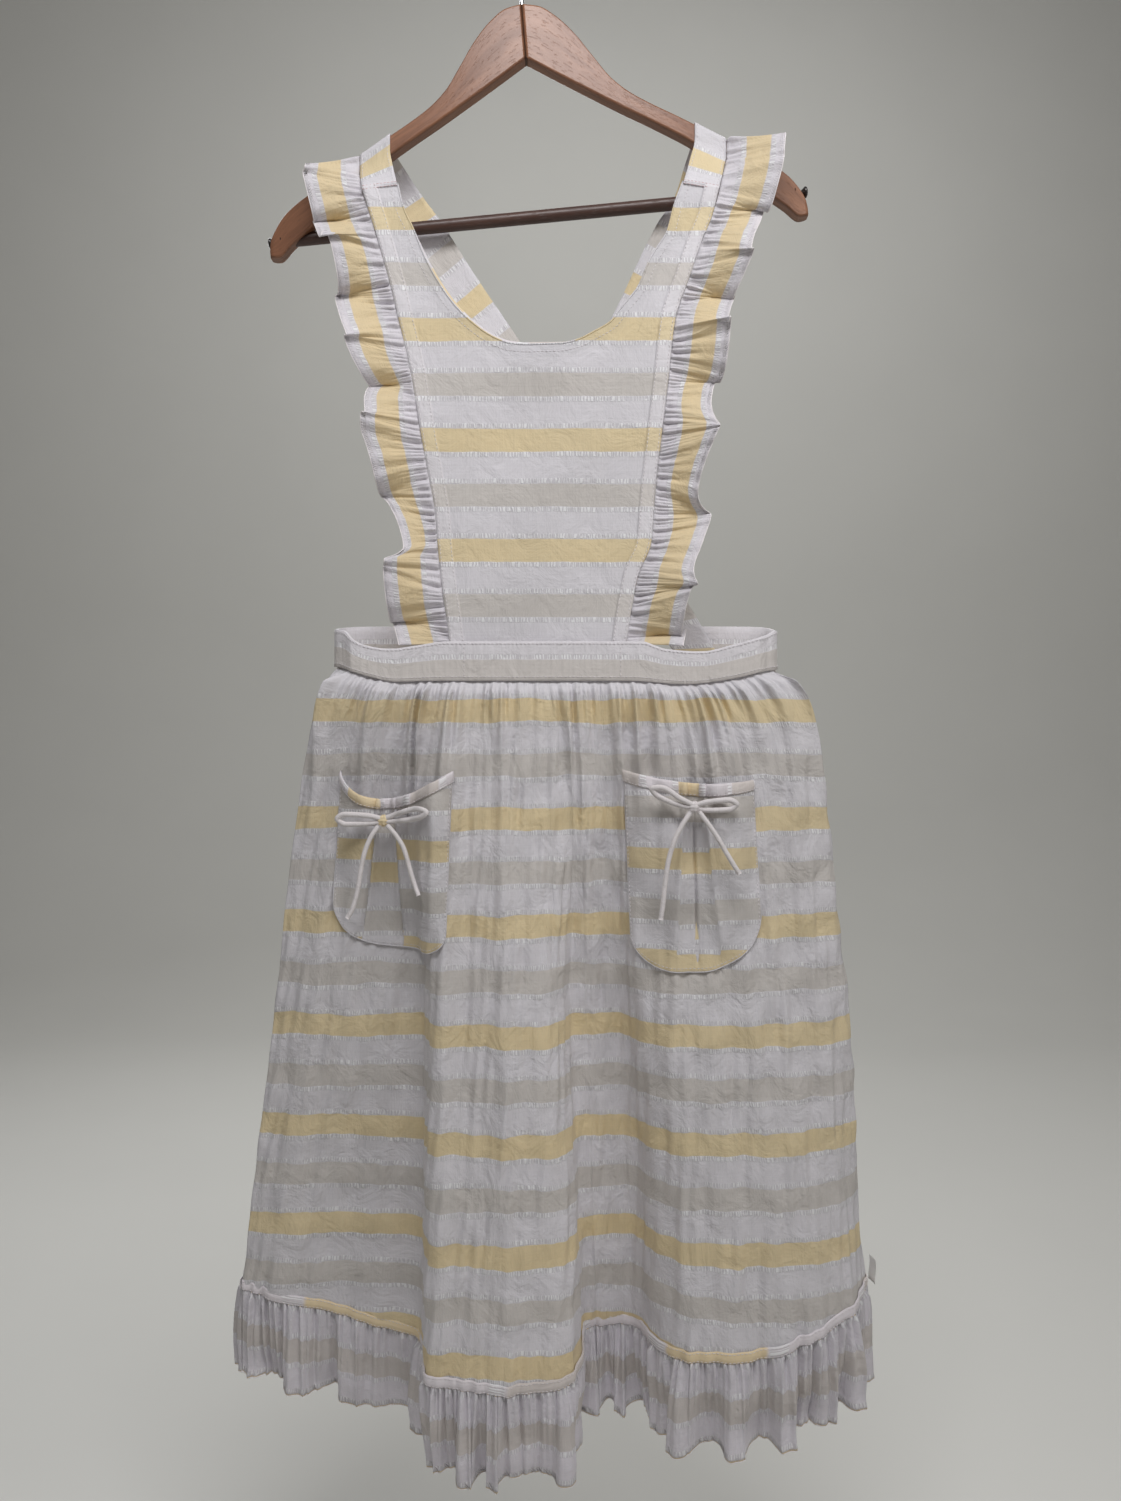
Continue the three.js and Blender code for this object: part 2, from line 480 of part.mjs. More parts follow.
const POCKETS = {
  left: { x0: -137, x1: -47.5, b0: -139, b1: -56, out: 17, zt: (u) => -681 - 22 * Math.pow(4 * u * (1 - u), 1.2) * 0.9, zb: (u) => lerp(-796, -816, u) - 12 * 4 * u * (1 - u) },
  right: { x0: 86, x1: 187, b0: 99, b1: 178, out: 17, zt: (u) => lerp(-680, -688, u) - 6 * 4 * u * (1 - u), zb: (u) => lerp(-822, -824, u) - 9 * 4 * u * (1 - u) },
};
const plane = {};
for (const nm of ["left", "right"]) {
  const at = pocketAt(POCKETS[nm]);
  plane[nm] = at;
  add("pocket_" + nm, cloth(10, 6, (u, v) => at(u, v), CLOTH), "cloth");
  add("pocket_mouth_band_" + nm, cloth(10, 1, (u, v) => at(lerp(0.01, 0.99, u), lerp(0.93, 0.995, v), 2.7), TRIM), "trim");
}

// Bows: a knot with two loops on the middle of each mouth band, and two tails hanging from it.
function bow(nm, side) {
  const at = plane[nm], k = at(0.5, 0.965, 7.4);
  const K = (x, y, z) => V(k.x + x, k.y + y, k.z + z);
  const knot = new THREE.SphereGeometry(1, 10, 7);
  knot.scale(4.6, 3.2, 4.2);
  knot.translate(k.x, k.y, k.z);
  let s = toSolid(knot);
  const loops = side === "left"
    ? [[[0, 0, 1], [-12, -3, 4], [-30, -3, 5], [-34.5, -2, 1.5], [-28, -1, -3], [-12, -1, -2.5], [0, 0, -1]],
       [[0, 0, 1], [10, -4, 5], [27, -9, 10], [32, -9, 7.5], [27, -8, 3], [11, -3, 0], [0, 0, -1]]]
    : [[[0, 0, 1], [-10, -3, 6], [-27, -3, 15], [-32, -2, 14], [-29, -1, 9], [-12, -1, 1.5], [0, 0, -1]],
       [[0, 0, 1], [10, -3, 4], [25, -3, 5.5], [30, -2, 2], [25, -1, -2], [11, -1, -2.5], [0, 0, -1]]];
  for (const l of loops)
    s = s.add(toSolid(tube(l.map((q) => K(...q)), CORD_D, 7, 14)));
  add("pocket_bow_" + nm, toGeometry(s), "cord");
  return K;
}
// Tail routes, as offsets from each knot's centre.
const TAILS = {
  left: [[[-4, -2.2, -4.2], [-9, -3.5, -12], [-14, -3.5, -24], [-17.5, -3, -40], [-20, -2.6, -55], [-24, -2, -69], [-28, -1.5, -76]],
         [[4, -2.2, -4.2], [10, -3.5, -11], [16.5, -3.5, -22], [20.5, -3, -36], [24, -2.6, -48], [28, -2.2, -58]]],
  right: [[[-4, -2.2, -4.2], [-9.5, -3.5, -13], [-16, -3.5, -26], [-20.5, -3, -42], [-23, -2.6, -60], [-24.5, -2, -75], [-26, -1.5, -86]],
          [[4, -2.2, -4.2], [9.5, -3.5, -12], [17, -3.5, -23], [24, -3, -35], [29.5, -2.6, -44], [34, -2.2, -51]]],
};
for (const nm of ["left", "right"]) {
  const K = bow(nm, nm);
  TAILS[nm].forEach((t, i) => {
    const q = t.map((p) => K(...p));
    add("pocket_tie_" + nm + (i ? "_b" : "_a"), tube(q, CORD_D, 8, 10), "cord");
  });
}

// Care label, a blank folded tab sewn into the right side seam above the hem.
{
  const p = skirt(1, 0.955);
  add("care_label", cloth(2, 3, (u, v) => V(p.x + 6.0 + 1.2 * u, p.y - 3 - 17 * u * 0.25 - 8 * u, p.z - 3 - 20 * v), 0.8), "label");
}

export default group;
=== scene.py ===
# A gathered, ruffled bib apron on a wooden coat hanger: the visual model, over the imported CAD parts.
import math
import bpy
import numpy as np
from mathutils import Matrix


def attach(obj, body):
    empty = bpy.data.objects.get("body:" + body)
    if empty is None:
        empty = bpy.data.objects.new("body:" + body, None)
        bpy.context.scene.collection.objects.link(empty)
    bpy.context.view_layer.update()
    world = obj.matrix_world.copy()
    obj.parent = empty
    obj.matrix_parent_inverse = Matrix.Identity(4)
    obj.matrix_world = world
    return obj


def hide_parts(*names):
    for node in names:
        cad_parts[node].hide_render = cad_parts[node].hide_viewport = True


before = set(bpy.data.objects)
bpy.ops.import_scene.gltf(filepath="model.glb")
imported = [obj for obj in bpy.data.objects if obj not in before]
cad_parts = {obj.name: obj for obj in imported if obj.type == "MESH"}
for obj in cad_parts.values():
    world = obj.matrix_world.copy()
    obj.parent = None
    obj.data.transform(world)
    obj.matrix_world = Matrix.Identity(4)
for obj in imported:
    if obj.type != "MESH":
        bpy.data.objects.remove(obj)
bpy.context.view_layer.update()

MM = 0.001
TH = math.radians(4.55)

# ------------------------------------------------------------------ numbers
def pchip(xk, yk, x):
    xk, yk, x = np.asarray(xk, float), np.asarray(yk, float), np.asarray(x, float)
    h = np.diff(xk)
    dl = np.diff(yk) / h
    m = np.zeros_like(yk)
    p = dl[:-1] * dl[1:]
    q = np.where(np.abs(dl[:-1] + dl[1:]) < 1e-12, 1e-12, dl[:-1] + dl[1:])
    m[1:-1] = np.where(p > 0, 2 * p / q, 0)
    m[0], m[-1] = dl[0], dl[-1]
    i = np.clip(np.searchsorted(xk, x, side="right") - 1, 0, len(h) - 1)
    t = np.clip((x - xk[i]) / h[i], 0, 1)
    t2, t3 = t * t, t * t * t
    return (2 * t3 - 3 * t2 + 1) * yk[i] + (t3 - 2 * t2 + t) * h[i] * m[i] + (-2 * t3 + 3 * t2) * yk[i + 1] + (t3 - t2) * h[i] * m[i + 1]


def smooth(t):
    t = np.clip(t, 0, 1)
    return t * t * (3 - 2 * t)


def mix(a, b, t):
    return a + (b - a) * t


def noise1(x, seed, octaves=4, base=1.0):
    r = np.random.default_rng(seed)
    out = np.zeros_like(np.asarray(x, float))
    for k in range(octaves):
        f = base * (1.7 ** k) * (1 + 0.25 * r.random())
        out = out + np.sin(2 * np.pi * (f * x + r.random())) / (1.35 ** k)
    return out / 2.2


def noise2(x, y, seed, n=7, fx=1.0, fy=1.0):
    r = np.random.default_rng(seed)
    out = 0
    for k in range(n):
        a, f = r.random() * 2 * np.pi, 0.5 + 1.2 * r.random()
        out = out + np.sin(2 * np.pi * (f * np.cos(a) * fx * x + f * np.sin(a) * fy * y + r.random()))
    return out / math.sqrt(n)


def spline3(pts, t):
    """Points (n, 3) sampled at t in 0..1 by arc length."""
    pts = np.asarray(pts, float)
    d = np.concatenate([[0], np.cumsum(np.linalg.norm(np.diff(pts, axis=0), axis=1))])
    k = d / d[-1]
    return np.stack([pchip(k, pts[:, i], t) for i in range(3)], -1)


def arc(P):
    return np.concatenate([[0], np.cumsum(np.linalg.norm(np.diff(P, axis=0), axis=1))])


def unit(v):
    return v / np.maximum(np.linalg.norm(v, axis=-1, keepdims=True), 1e-9)


# ------------------------------------------------------------------ nodes
class Mat:
    def __init__(s, name):
        s.m = bpy.data.materials.new(name)
        s.m.use_nodes = True
        s.nt = s.m.node_tree
        s.nt.nodes.clear()
        s.out = s.node("ShaderNodeOutputMaterial")

    def node(s, kind, **kw):
        n = s.nt.nodes.new(kind)
        for k, v in kw.items():
            setattr(n, k, v)
        return n

    def put(s, sock, v):
        if hasattr(v, "is_output"):
            s.nt.links.new(v, sock)
        else:
            sock.default_value = v

    def math(s, op, a, b=0.0, c=0.0, clamp=False):
        n = s.node("ShaderNodeMath", operation=op, use_clamp=clamp)
        for i, v in enumerate((a, b, c)):
            s.put(n.inputs[i], v)
        return n.outputs[0]

    def uv(s):
        n = s.node("ShaderNodeUVMap", uv_map="cloth")
        x = s.node("ShaderNodeSeparateXYZ")
        s.put(x.inputs[0], n.outputs[0])
        return x.outputs[0], x.outputs[1]

    def vec(s, x, y, z=0.0):
        n = s.node("ShaderNodeCombineXYZ")
        for i, v in enumerate((x, y, z)):
            s.put(n.inputs[i], v)
        return n.outputs[0]

    def noise(s, vec, scale, detail=2.0, rough=0.5, distortion=0.0):
        n = s.node("ShaderNodeTexNoise")
        s.put(n.inputs["Vector"], vec)
        n.inputs["Scale"].default_value = scale
        n.inputs["Detail"].default_value = detail
        n.inputs["Roughness"].default_value = rough
        n.inputs["Distortion"].default_value = distortion
        return n.outputs[0]

    def step(s, v, a, b, lo=0.0, hi=1.0):
        n = s.node("ShaderNodeMapRange", interpolation_type="SMOOTHSTEP")
        s.put(n.inputs[0], v)
        for i, x in enumerate((a, b, lo, hi)):
            n.inputs[i + 1].default_value = x
        return n.outputs[0]

    def mixc(s, f, a, b, blend="MIX"):
        n = s.node("ShaderNodeMix", data_type="RGBA", blend_type=blend)
        s.put(n.inputs[0], f)
        s.put(n.inputs[6], a)
        s.put(n.inputs[7], b)
        return n.outputs[2]

    def bump(s, height, dist, strength=1.0, normal=None):
        n = s.node("ShaderNodeBump")
        n.inputs["Strength"].default_value = strength
        n.inputs["Distance"].default_value = dist
        s.put(n.inputs["Height"], height)
        if normal is not None:
            s.put(n.inputs["Normal"], normal)
        return n.outputs[0]


WHITE = (0.80, 0.78, 0.81, 1)
YELLOW = (0.83, 0.71, 0.475, 1)
BEIGE = (0.70, 0.665, 0.635, 1)


def fabric(name, gather=0.0, crinkle=1.0, tint=(1, 1, 1), through=0.28):
    """Thin cotton. UV u is metres along the stripes, v is metres across them, with a yellow stripe at 0."""
    m = Mat(name)
    u, v = m.uv()
    wob = m.math("MULTIPLY", m.math("SUBTRACT", m.noise(m.vec(u, v), 90, 2), 0.5), 0.0012)
    t = m.math("FRACT", m.math("ADD", m.math("DIVIDE", m.math("ADD", v, wob), 0.088), 100.0))
    k = m.math("ABSOLUTE", m.math("SUBTRACT", t, 0.5))
    yel = m.step(k, 0.391, 0.401)
    bei = m.step(k, 0.098, 0.108, 1.0, 0.0)
    white = tuple(c * x for c, x in zip(WHITE, (*tint, 1)))
    yellow = tuple(c * x for c, x in zip(YELLOW, (*tint, 1)))
    beige = tuple(c * x for c, x in zip(BEIGE, (*tint, 1)))
    # faint slubs along the weft and the warp
    slub = m.noise(m.vec(m.math("MULTIPLY", u, 26.0), m.math("MULTIPLY", v, 900.0)), 1.0, 3)
    warp = m.noise(m.vec(m.math("MULTIPLY", u, 900.0), m.math("MULTIPLY", v, 26.0)), 1.0, 3)
    col = m.mixc(yel, white, yellow)
    col = m.mixc(bei, col, beige)
    tone = m.math("ADD", m.math("MULTIPLY", slub, 0.10), m.math("MULTIPLY", warp, 0.10))
    tone = m.math("ADD", tone, 0.90)
    col = m.mixc(1.0, col, m.vec(tone, tone, tone), "MULTIPLY")
    # clipped ticks: short raised threads in a row inside both edges of each pale stripe, with painted shade in the gaps
    # between them
    row1 = m.math("MULTIPLY", m.step(k, 0.346, 0.352), m.step(k, 0.388, 0.394, 1.0, 0.0))
    row2 = m.math("MULTIPLY", m.step(k, 0.106, 0.112), m.step(k, 0.148, 0.154, 1.0, 0.0))
    rows = m.math("ADD", row1, row2, clamp=True)
    jit = m.noise(m.vec(m.math("MULTIPLY", u, 330.0), m.math("MULTIPLY", v, 60.0)), 1.0, 1)
    ph = m.math("FRACT", m.math("ADD", m.math("DIVIDE", u, 0.0024), m.math("MULTIPLY", jit, 2.2)))
    tick = m.step(m.math("ABSOLUTE", m.math("SUBTRACT", ph, 0.5)), 0.17, 0.30, 1.0, 0.0)
    some = m.step(m.noise(m.vec(m.math("MULTIPLY", u, 70.0), m.math("MULTIPLY", v, 40.0)), 1.0, 1), 0.30, 0.55, 0.35, 1.0)
    ticks = m.math("MULTIPLY", m.math("MULTIPLY", rows, tick), some)
    # painted shade: the gaps between the raised ticks in each row are darkened towards grey
    gap = m.math("MULTIPLY", m.math("SUBTRACT", rows, ticks, clamp=True), 0.20)
    col = m.mixc(gap, col, (0.42, 0.40, 0.42, 1))
    col = m.mixc(m.math("MULTIPLY", ticks, 0.9), col, (0.95, 0.95, 0.96, 1))
    # relief: thread, ticks, soft crinkle, gathers
    thread = m.math("ADD", m.math("SINE", m.math("MULTIPLY", u, 2 * math.pi / 0.0011)), m.math("SINE", m.math("MULTIPLY", v, 2 * math.pi / 0.0011)))
    h = m.math("MULTIPLY", thread, 0.05)
    h = m.math("ADD", h, m.math("MULTIPLY", ticks, 0.9))
    h = m.math("ADD", h, m.math("MULTIPLY", m.math("ADD", slub, warp), 0.35))
    n1 = m.bump(h, 0.00035, 0.8)
    cr = m.noise(m.vec(m.math("MULTIPLY", u, 1.0), m.math("MULTIPLY", v, 0.8)), 42, 5, 0.62, 0.6)
    n1 = m.bump(cr, 0.0042 * crinkle, 0.85, n1)
    if gather:
        g = m.noise(m.vec(m.math("MULTIPLY", u, 190.0), m.math("MULTIPLY", v, 14.0)), 1.0, 3, 0.6)
        n1 = m.bump(g, 0.003 * gather, 0.9, n1)
    p = m.node("ShaderNodeBsdfPrincipled")
    m.put(p.inputs["Base Color"], col)
    p.inputs["Roughness"].default_value = 0.86
    p.inputs["Specular IOR Level"].default_value = 0.25
    p.inputs["Sheen Weight"].default_value = 0.18
    p.inputs["Sheen Roughness"].default_value = 0.45
    m.put(p.inputs["Normal"], n1)
    tr = m.node("ShaderNodeBsdfTranslucent")
    m.put(tr.inputs["Color"], col)
    m.put(tr.inputs["Normal"], n1)
    mx = m.node("ShaderNodeMixShader")
    mx.inputs[0].default_value = through
    m.nt.links.new(p.outputs[0], mx.inputs[1])
    m.nt.links.new(tr.outputs[0], mx.inputs[2])
    m.nt.links.new(mx.outputs[0], m.out.inputs[0])
    return m.m


def plain(name, color, rough=0.6, metal=0.0, bump=0.0, scale=900, coat=0.0, sheen=0.0):
    m = Mat(name)
    co = m.node("ShaderNodeTexCoord").outputs["Object"]
    nz = m.noise(co, scale, 3)
    col = m.mixc(m.math("MULTIPLY", nz, 0.25), (*color, 1), tuple(c * 0.8 for c in color) + (1,))
    p = m.node("ShaderNodeBsdfPrincipled")
    m.put(p.inputs["Base Color"], col)
    p.inputs["Roughness"].default_value = rough
    p.inputs["Metallic"].default_value = metal
    p.inputs["Coat Weight"].default_value = coat
    p.inputs["Coat Roughness"].default_value = 0.15
    p.inputs["Sheen Weight"].default_value = sheen
    if bump:
        m.put(p.inputs["Normal"], m.bump(nz, bump, 0.6))
    m.nt.links.new(p.outputs[0], m.out.inputs[0])
    return m.m


def wood(name, a, b, c, rough=0.38, coat=0.25):
    """Lacquered wood. UV u is metres along the grain, v metres across it."""
    m = Mat(name)
    u, v = m.uv()
    warp = m.noise(m.vec(m.math("MULTIPLY", u, 7.0), m.math("MULTIPLY", v, 40.0)), 1.0, 3)
    g1 = m.noise(m.vec(m.math("MULTIPLY", u, 9.0), m.math("ADD", m.math("MULTIPLY", v, 240.0), m.math("MULTIPLY", warp, 5.0))), 1.0, 5, 0.6)
    g2 = m.noise(m.vec(m.math("MULTIPLY", u, 60.0), m.math("MULTIPLY", v, 2600.0)), 1.0, 2)
    pores = m.step(m.noise(m.vec(m.math("MULTIPLY", u, 140.0), m.math("MULTIPLY", v, 2400.0)), 1.0, 1), 0.60, 0.72)
    col = m.mixc(m.step(g1, 0.32, 0.68), a, b)
    col = m.mixc(m.math("MULTIPLY", g2, 0.35), col, c)
    col = m.mixc(m.math("MULTIPLY", pores, 0.30), col, tuple(x * 0.55 for x in c[:3]) + (1,))
    p = m.node("ShaderNodeBsdfPrincipled")
    m.put(p.inputs["Base Color"], col)
    m.put(p.inputs["Roughness"], m.math("ADD", m.math("MULTIPLY", g1, 0.16), rough - 0.06))
    p.inputs["Coat Weight"].default_value = coat
    p.inputs["Coat Roughness"].default_value = 0.22
    h = m.math("SUBTRACT", m.math("MULTIPLY", g2, 0.4), pores)
    m.put(p.inputs["Normal"], m.bump(h, 0.00018, 0.7))
    m.nt.links.new(p.outputs[0], m.out.inputs[0])
    return m.m


COTTON = fabric("cotton_striped", crinkle=0.75)
COTTON_SKIRT = fabric("cotton_striped_skirt", gather=0.25)
COTTON_RUFFLE = fabric("cotton_striped_ruffle", gather=0.18, crinkle=0.9, tint=(1.0, 0.99, 1.0), through=0.32)
COTTON_BAND = fabric("cotton_striped_band", crinkle=0.7, tint=(0.97, 0.96, 0.96), through=0.12)
COTTON_BIND = fabric("cotton_binding", crinkle=0.8, tint=(1.0, 0.965, 0.965), through=0.12)
COTTON_TIE = fabric("cotton_tie", crinkle=0.6, tint=(0.93, 0.90, 0.87), through=0.05)
THREAD = plain("thread_pale", (0.80, 0.76, 0.78), 0.7, sheen=0.2)
THREAD_PINK = plain("thread_pink", (0.72, 0.50, 0.50), 0.7, sheen=0.2)
THREAD_EDGE = plain("thread_overlock", (0.84, 0.79, 0.80), 0.75, sheen=0.3)
WOOD = wood("wood_reddish", (0.315, 0.142, 0.074, 1), (0.195, 0.082, 0.042, 1), (0.135, 0.055, 0.029, 1), 0.40, 0.20)
WOOD_DARK = wood("wood_dark_bar", (0.085, 0.038, 0.026, 1), (0.055, 0.024, 0.017, 1), (0.035, 0.016, 0.012, 1), 0.42, 0.12)
STEEL = plain("steel_plated", (0.74, 0.75, 0.77), 0.16, 1.0, scale=1500)
SCREW = plain("screw_dark", (0.035, 0.028, 0.026), 0.28, 0.6, coat=0.5)
LABEL = plain("label_blank", (0.82, 0.81, 0.78), 0.45, bump=0.0001, scale=2500, sheen=0.3)


# ------------------------------------------------------------------ meshes
def obj_from(name, verts, faces, uv=None, mat=None, body="apron"):
    me = bpy.data.meshes.new(name)
    me.from_pydata((np.asarray(verts) * MM).tolist(), [], [list(map(int, f)) for f in faces])
    if uv is not None:
        layer = me.uv_layers.new(name="cloth")
        vi = np.empty(len(me.loops), int)
        me.loops.foreach_get("vertex_index", vi)
        layer.data.foreach_set("uv", np.asarray(uv, float)[vi].ravel())
    me.polygons.foreach_set("use_smooth", [True] * len(me.polygons))
    me.update()
    o = bpy.data.objects.new(name, me)
    bpy.context.scene.collection.objects.link(o)
    if mat is not None:
        me.materials.append(mat)
    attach(o, body)
    return o


def grid_faces(nu, nv, wrap_v=False):
    i = np.arange(nu - 1)[:, None]
    j = np.arange(nv if wrap_v else nv - 1)[None, :]
    j2 = (j + 1) % nv
    f = np.stack([i * nv + j, (i + 1) * nv + j, (i + 1) * nv + j2, i * nv + j2], -1)
    return f.reshape(-1, 4)


def sheet(name, P, U, V, mat, thick=0.5, body="apron"):
    """A grid of points (nu, nv, 3) in mm with flat fabric coordinates in metres."""
    nu, nv = P.shape[:2]
    uv = np.stack([np.broadcast_to(U, (nu, nv)), np.broadcast_to(V, (nu, nv))], -1).reshape(-1, 2)
    o = obj_from(name, P.reshape(-1, 3), grid_faces(nu, nv), uv, mat, body)
    if thick:
        s = o.modifiers.new("Solidify", "SOLIDIFY")
        s.thickness, s.offset, s.use_rim = thick * MM, 0, True
    return o


def frames(P):
    T = unit(np.gradient(P, axis=0))
    ref = np.array([0, 1.0, 0]) if abs(T[0][1]) < 0.8 else np.array([1.0, 0, 0])
    N = np.zeros_like(P)
    n = unit(ref - T[0] * ref.dot(T[0]))
    for i in range(len(P)):
        n = unit(n - T[i] * n.dot(T[i]))
        N[i] = n
    return T, N, np.cross(T, N)


def tube(name, P, r, sides, mat, body="apron", flat=1.0, cap=True, v0=0.022, vz=None):
    P = np.asarray(P, float)
    T, N, B = frames(P)
    a = np.arange(sides) * 2 * np.pi / sides
    r = np.broadcast_to(r, (len(P),))
    ring = N[:, None] * np.cos(a)[None, :, None] * flat + B[:, None] * np.sin(a)[None, :, None]
    W = P[:, None] + ring * r[:, None, None]
    verts = W.reshape(-1, 3)
    faces = grid_faces(len(P), sides, True).tolist()
    s = arc(P) * MM
    across = np.tile(np.sin(a) * float(r.mean()) * MM, len(P)) + (v0 if vz is None else 0)
    if vz is not None:
        across = np.repeat((-P[:, 2] + vz) * MM, sides)
    uv = np.stack([np.repeat(s, sides), across], -1)
    if cap:
        faces += [list(range(sides))[::-1], [(len(P) - 1) * sides + i for i in range(sides)]]
    return obj_from(name, verts, [f[::-1] for f in faces], uv, mat, body)


def stitches(name, runs, mat=None, length=2.3, gap=0.9, r=0.27, body="apron"):
    """Runs of (points, outward normals) in mm: one raised thread for each stitch."""
    verts, faces = [], []
    a = np.arange(5) * 2 * np.pi / 5
    for P, N in runs:
        s = arc(P)
        n = int(s[-1] / (length + gap))
        if n < 1:
            continue
        c = (np.arange(n) + 0.5) * s[-1] / n
        for k in range(n):
            pts = [np.array([np.interp(c[k] + o * length, s, P[:, i]) for i in range(3)]) for o in (-0.5, 0, 0.5)]
            nn = unit(np.array([np.interp(c[k], s, N[:, i]) for i in range(3)]))
            t = unit(pts[2] - pts[0])
            b = np.cross(t, nn)
            base = len(verts)
            for q, (rr, up) in zip(pts, ((0.45, 0.0), (1, 0.55), (0.45, 0.0))):
                for x in a:
                    verts.append(q + nn * (r * (up + rr * math.cos(x))) + b * (r * rr * math.sin(x)))
            for j in range(2):
                for i in range(5):
                    i2 = (i + 1) % 5
                    faces.append([base + j * 5 + i, base + j * 5 + i2, base + (j + 1) * 5 + i2, base + (j + 1) * 5 + i])
            faces.append([base + i for i in range(5)][::-1])
            faces.append([base + 10 + i for i in range(5)])
    return obj_from(name, np.array(verts), faces, None, mat or THREAD, body)


def overlock(name, P, edge_row, inner_row, step=1.9, r=0.36, mat=None, body="apron"):
    """A thread that zigzags over a cut edge: edge_row and inner_row are point lists in mm."""
    s = arc(edge_row)
    n = max(4, int(s[-1] / step))
    t = np.linspace(0, s[-1], n * 2 + 1)
    si = arc(inner_row) * (s[-1] / max(arc(inner_row)[-1], 1e-6))
    E = np.stack([np.interp(t, s, edge_row[:, i]) for i in range(3)], -1)
    I = np.stack([np.interp(t, si, inner_row[:, i]) for i in range(3)], -1)
    Z = np.where((np.arange(len(t)) % 2 == 0)[:, None], E, I)
    tube(name, Z, r, 4, mat or THREAD_EDGE, body)
    tube(name + "_edge", E, 0.42, 6, mat or THREAD_EDGE, body)


# ------------------------------------------------------------------ hanger
def tilt(P):
    P = np.asarray(P, float)
    x, y, z = P[..., 0], P[..., 1], P[..., 2]
    c, s = math.cos(TH), math.sin(TH)
    return np.stack([x * c - z * s, y, x * s + z * c], -1)


def sweep(x):
    return 38 * (np.abs(x) / 224) ** 1.3


ARM_TOP = np.array([[0, -72], [13, -74], [26, -82], [40, -96], [53, -113.5], [66, -130.5], [80, -142], [96, -150.8], [118, -161], [150, -176.5], [180, -191.5], [198, -200.5], [208.5, -208], [217, -218], [222, -227], [223.4, -233.6]], float)
ARM_LOW = np.array([[0, -115.5], [20, -127], [44, -140], [72, -154.5], [98, -167], [130, -183.5], [155, -201], [180, -217], [204, -233], [216, -241.5], [223.4, -240]], float)


def arm(side, name, node):
    n = 96
    u = np.linspace(0, 1, n)
    x = 0.03 + 223.2 * np.where(u < 0.85, u * 0.90 / 0.85, 0.90 + 0.10 * np.sin((u - 0.85) / 0.15 * np.pi / 2))
    top, low = pchip(ARM_TOP[:, 0], ARM_TOP[:, 1], x), pchip(ARM_LOW[:, 0], ARM_LOW[:, 1], x)
    h, c = (top - low) / 2, (top + low) / 2
    end = np.clip((x - 220) / 3.25, 0, 1)
    T = 6.45 * (1 - 0.25 * end ** 2)
    r = 2.2
    # corners first, then straight runs: build the section as a list
    sec = []
    for cy, cz, a0 in ((1, 1, 0), (-1, 1, 90), (-1, -1, 180), (1, -1, 270)):
        for k in range(6):
            b = math.radians(a0 + k * 18)
            sec.append((cy, cz, math.cos(b), math.sin(b)))
    sec = np.array(sec)
    ring = len(sec)
    P = np.zeros((n, ring, 3))
    for i in range(n):
        hh, tt = max(h[i], 2.3), T[i]
        yy = sec[:, 0] * (tt - r) + sec[:, 2] * r
        zz = sec[:, 1] * (hh - r) + sec[:, 3] * r
        P[i, :, 0] = side * x[i]
        P[i, :, 1] = sweep(x[i]) + yy
        P[i, :, 2] = c[i] + zz
    W = tilt(P)
    slope = np.concatenate([[0], np.cumsum(np.hypot(np.diff(x), np.diff(c)))])
    per = np.cumsum(np.concatenate([[0], np.linalg.norm(np.diff(P[n // 2], axis=0), axis=1)]))
    uv = np.stack([np.repeat(slope * MM, ring) + (0.5 if side > 0 else 0), np.tile(per * MM, n)], -1)
    verts = W.reshape(-1, 3)
    faces = grid_faces(n, ring, True).tolist()
    faces += [list(range(ring))[::-1], [(n - 1) * ring + i for i in range(ring)]]
    if side < 0:
        faces = [f[::-1] for f in faces]
    o = obj_from(name, verts, [f[::-1] for f in faces], uv, WOOD, "hanger")
    w = o.modifiers.new("WN", "WEIGHTED_NORMAL")
    w.keep_sharp = True
    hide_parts(node)
    return o


arm(-1, "hanger_arm_left_wood", "hanger_arm_left")
arm(1, "hanger_arm_right_wood", "hanger_arm_right")

bar = tilt(np.stack([np.linspace(-213.5, 213.5, 40), np.full(40, 34.3), np.linspace(-226.5, -219.5, 40)], -1))
o = tube("trouser_bar_dowel", bar, 5.25, 40, WOOD_DARK, "hanger")
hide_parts("trouser_bar")
for sgn, tag, zb in ((-1, "left", -227.0), (1, "right", -219.5)):
    # a countersunk cross-slot head, let into the end of the arm
    n, k = 40, 14
    prof = [(22.0, 0.0), (22.0, 1.7), (3.2, 1.7), (1.2, 3.6), (0.2, 4.5), (-0.6, 4.5), (-1.2, 4.1), (-1.7, 3.2), (-2.0, 2.0), (-2.15, 0.9), (-2.2, 0.0)]
    a = np.arange(n) * 2 * np.pi / n
    V = np.zeros((len(prof), n, 3))
    for i, (o_, r) in enumerate(prof):
        slot = np.where((np.abs(np.cos(a)) < 0.22) | (np.abs(np.sin(a)) < 0.22), 0.9, 0.0) if o_ < -1.5 and r > 0 else 0.0
        V[i, :, 0] = sgn * (222.6 - o_ - slot)
        V[i, :, 1] = 36 + r * np.cos(a)
        V[i, :, 2] = zb + r * np.sin(a)
    W = tilt(V)
    f = grid_faces(len(prof), n, True).tolist()
    if sgn < 0:
        f = [q[::-1] for q in f]
    o = obj_from("bar_screw_%s_head" % tag, W.reshape(-1, 3), f, None, SCREW, "hanger")
    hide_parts("bar_screw_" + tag)

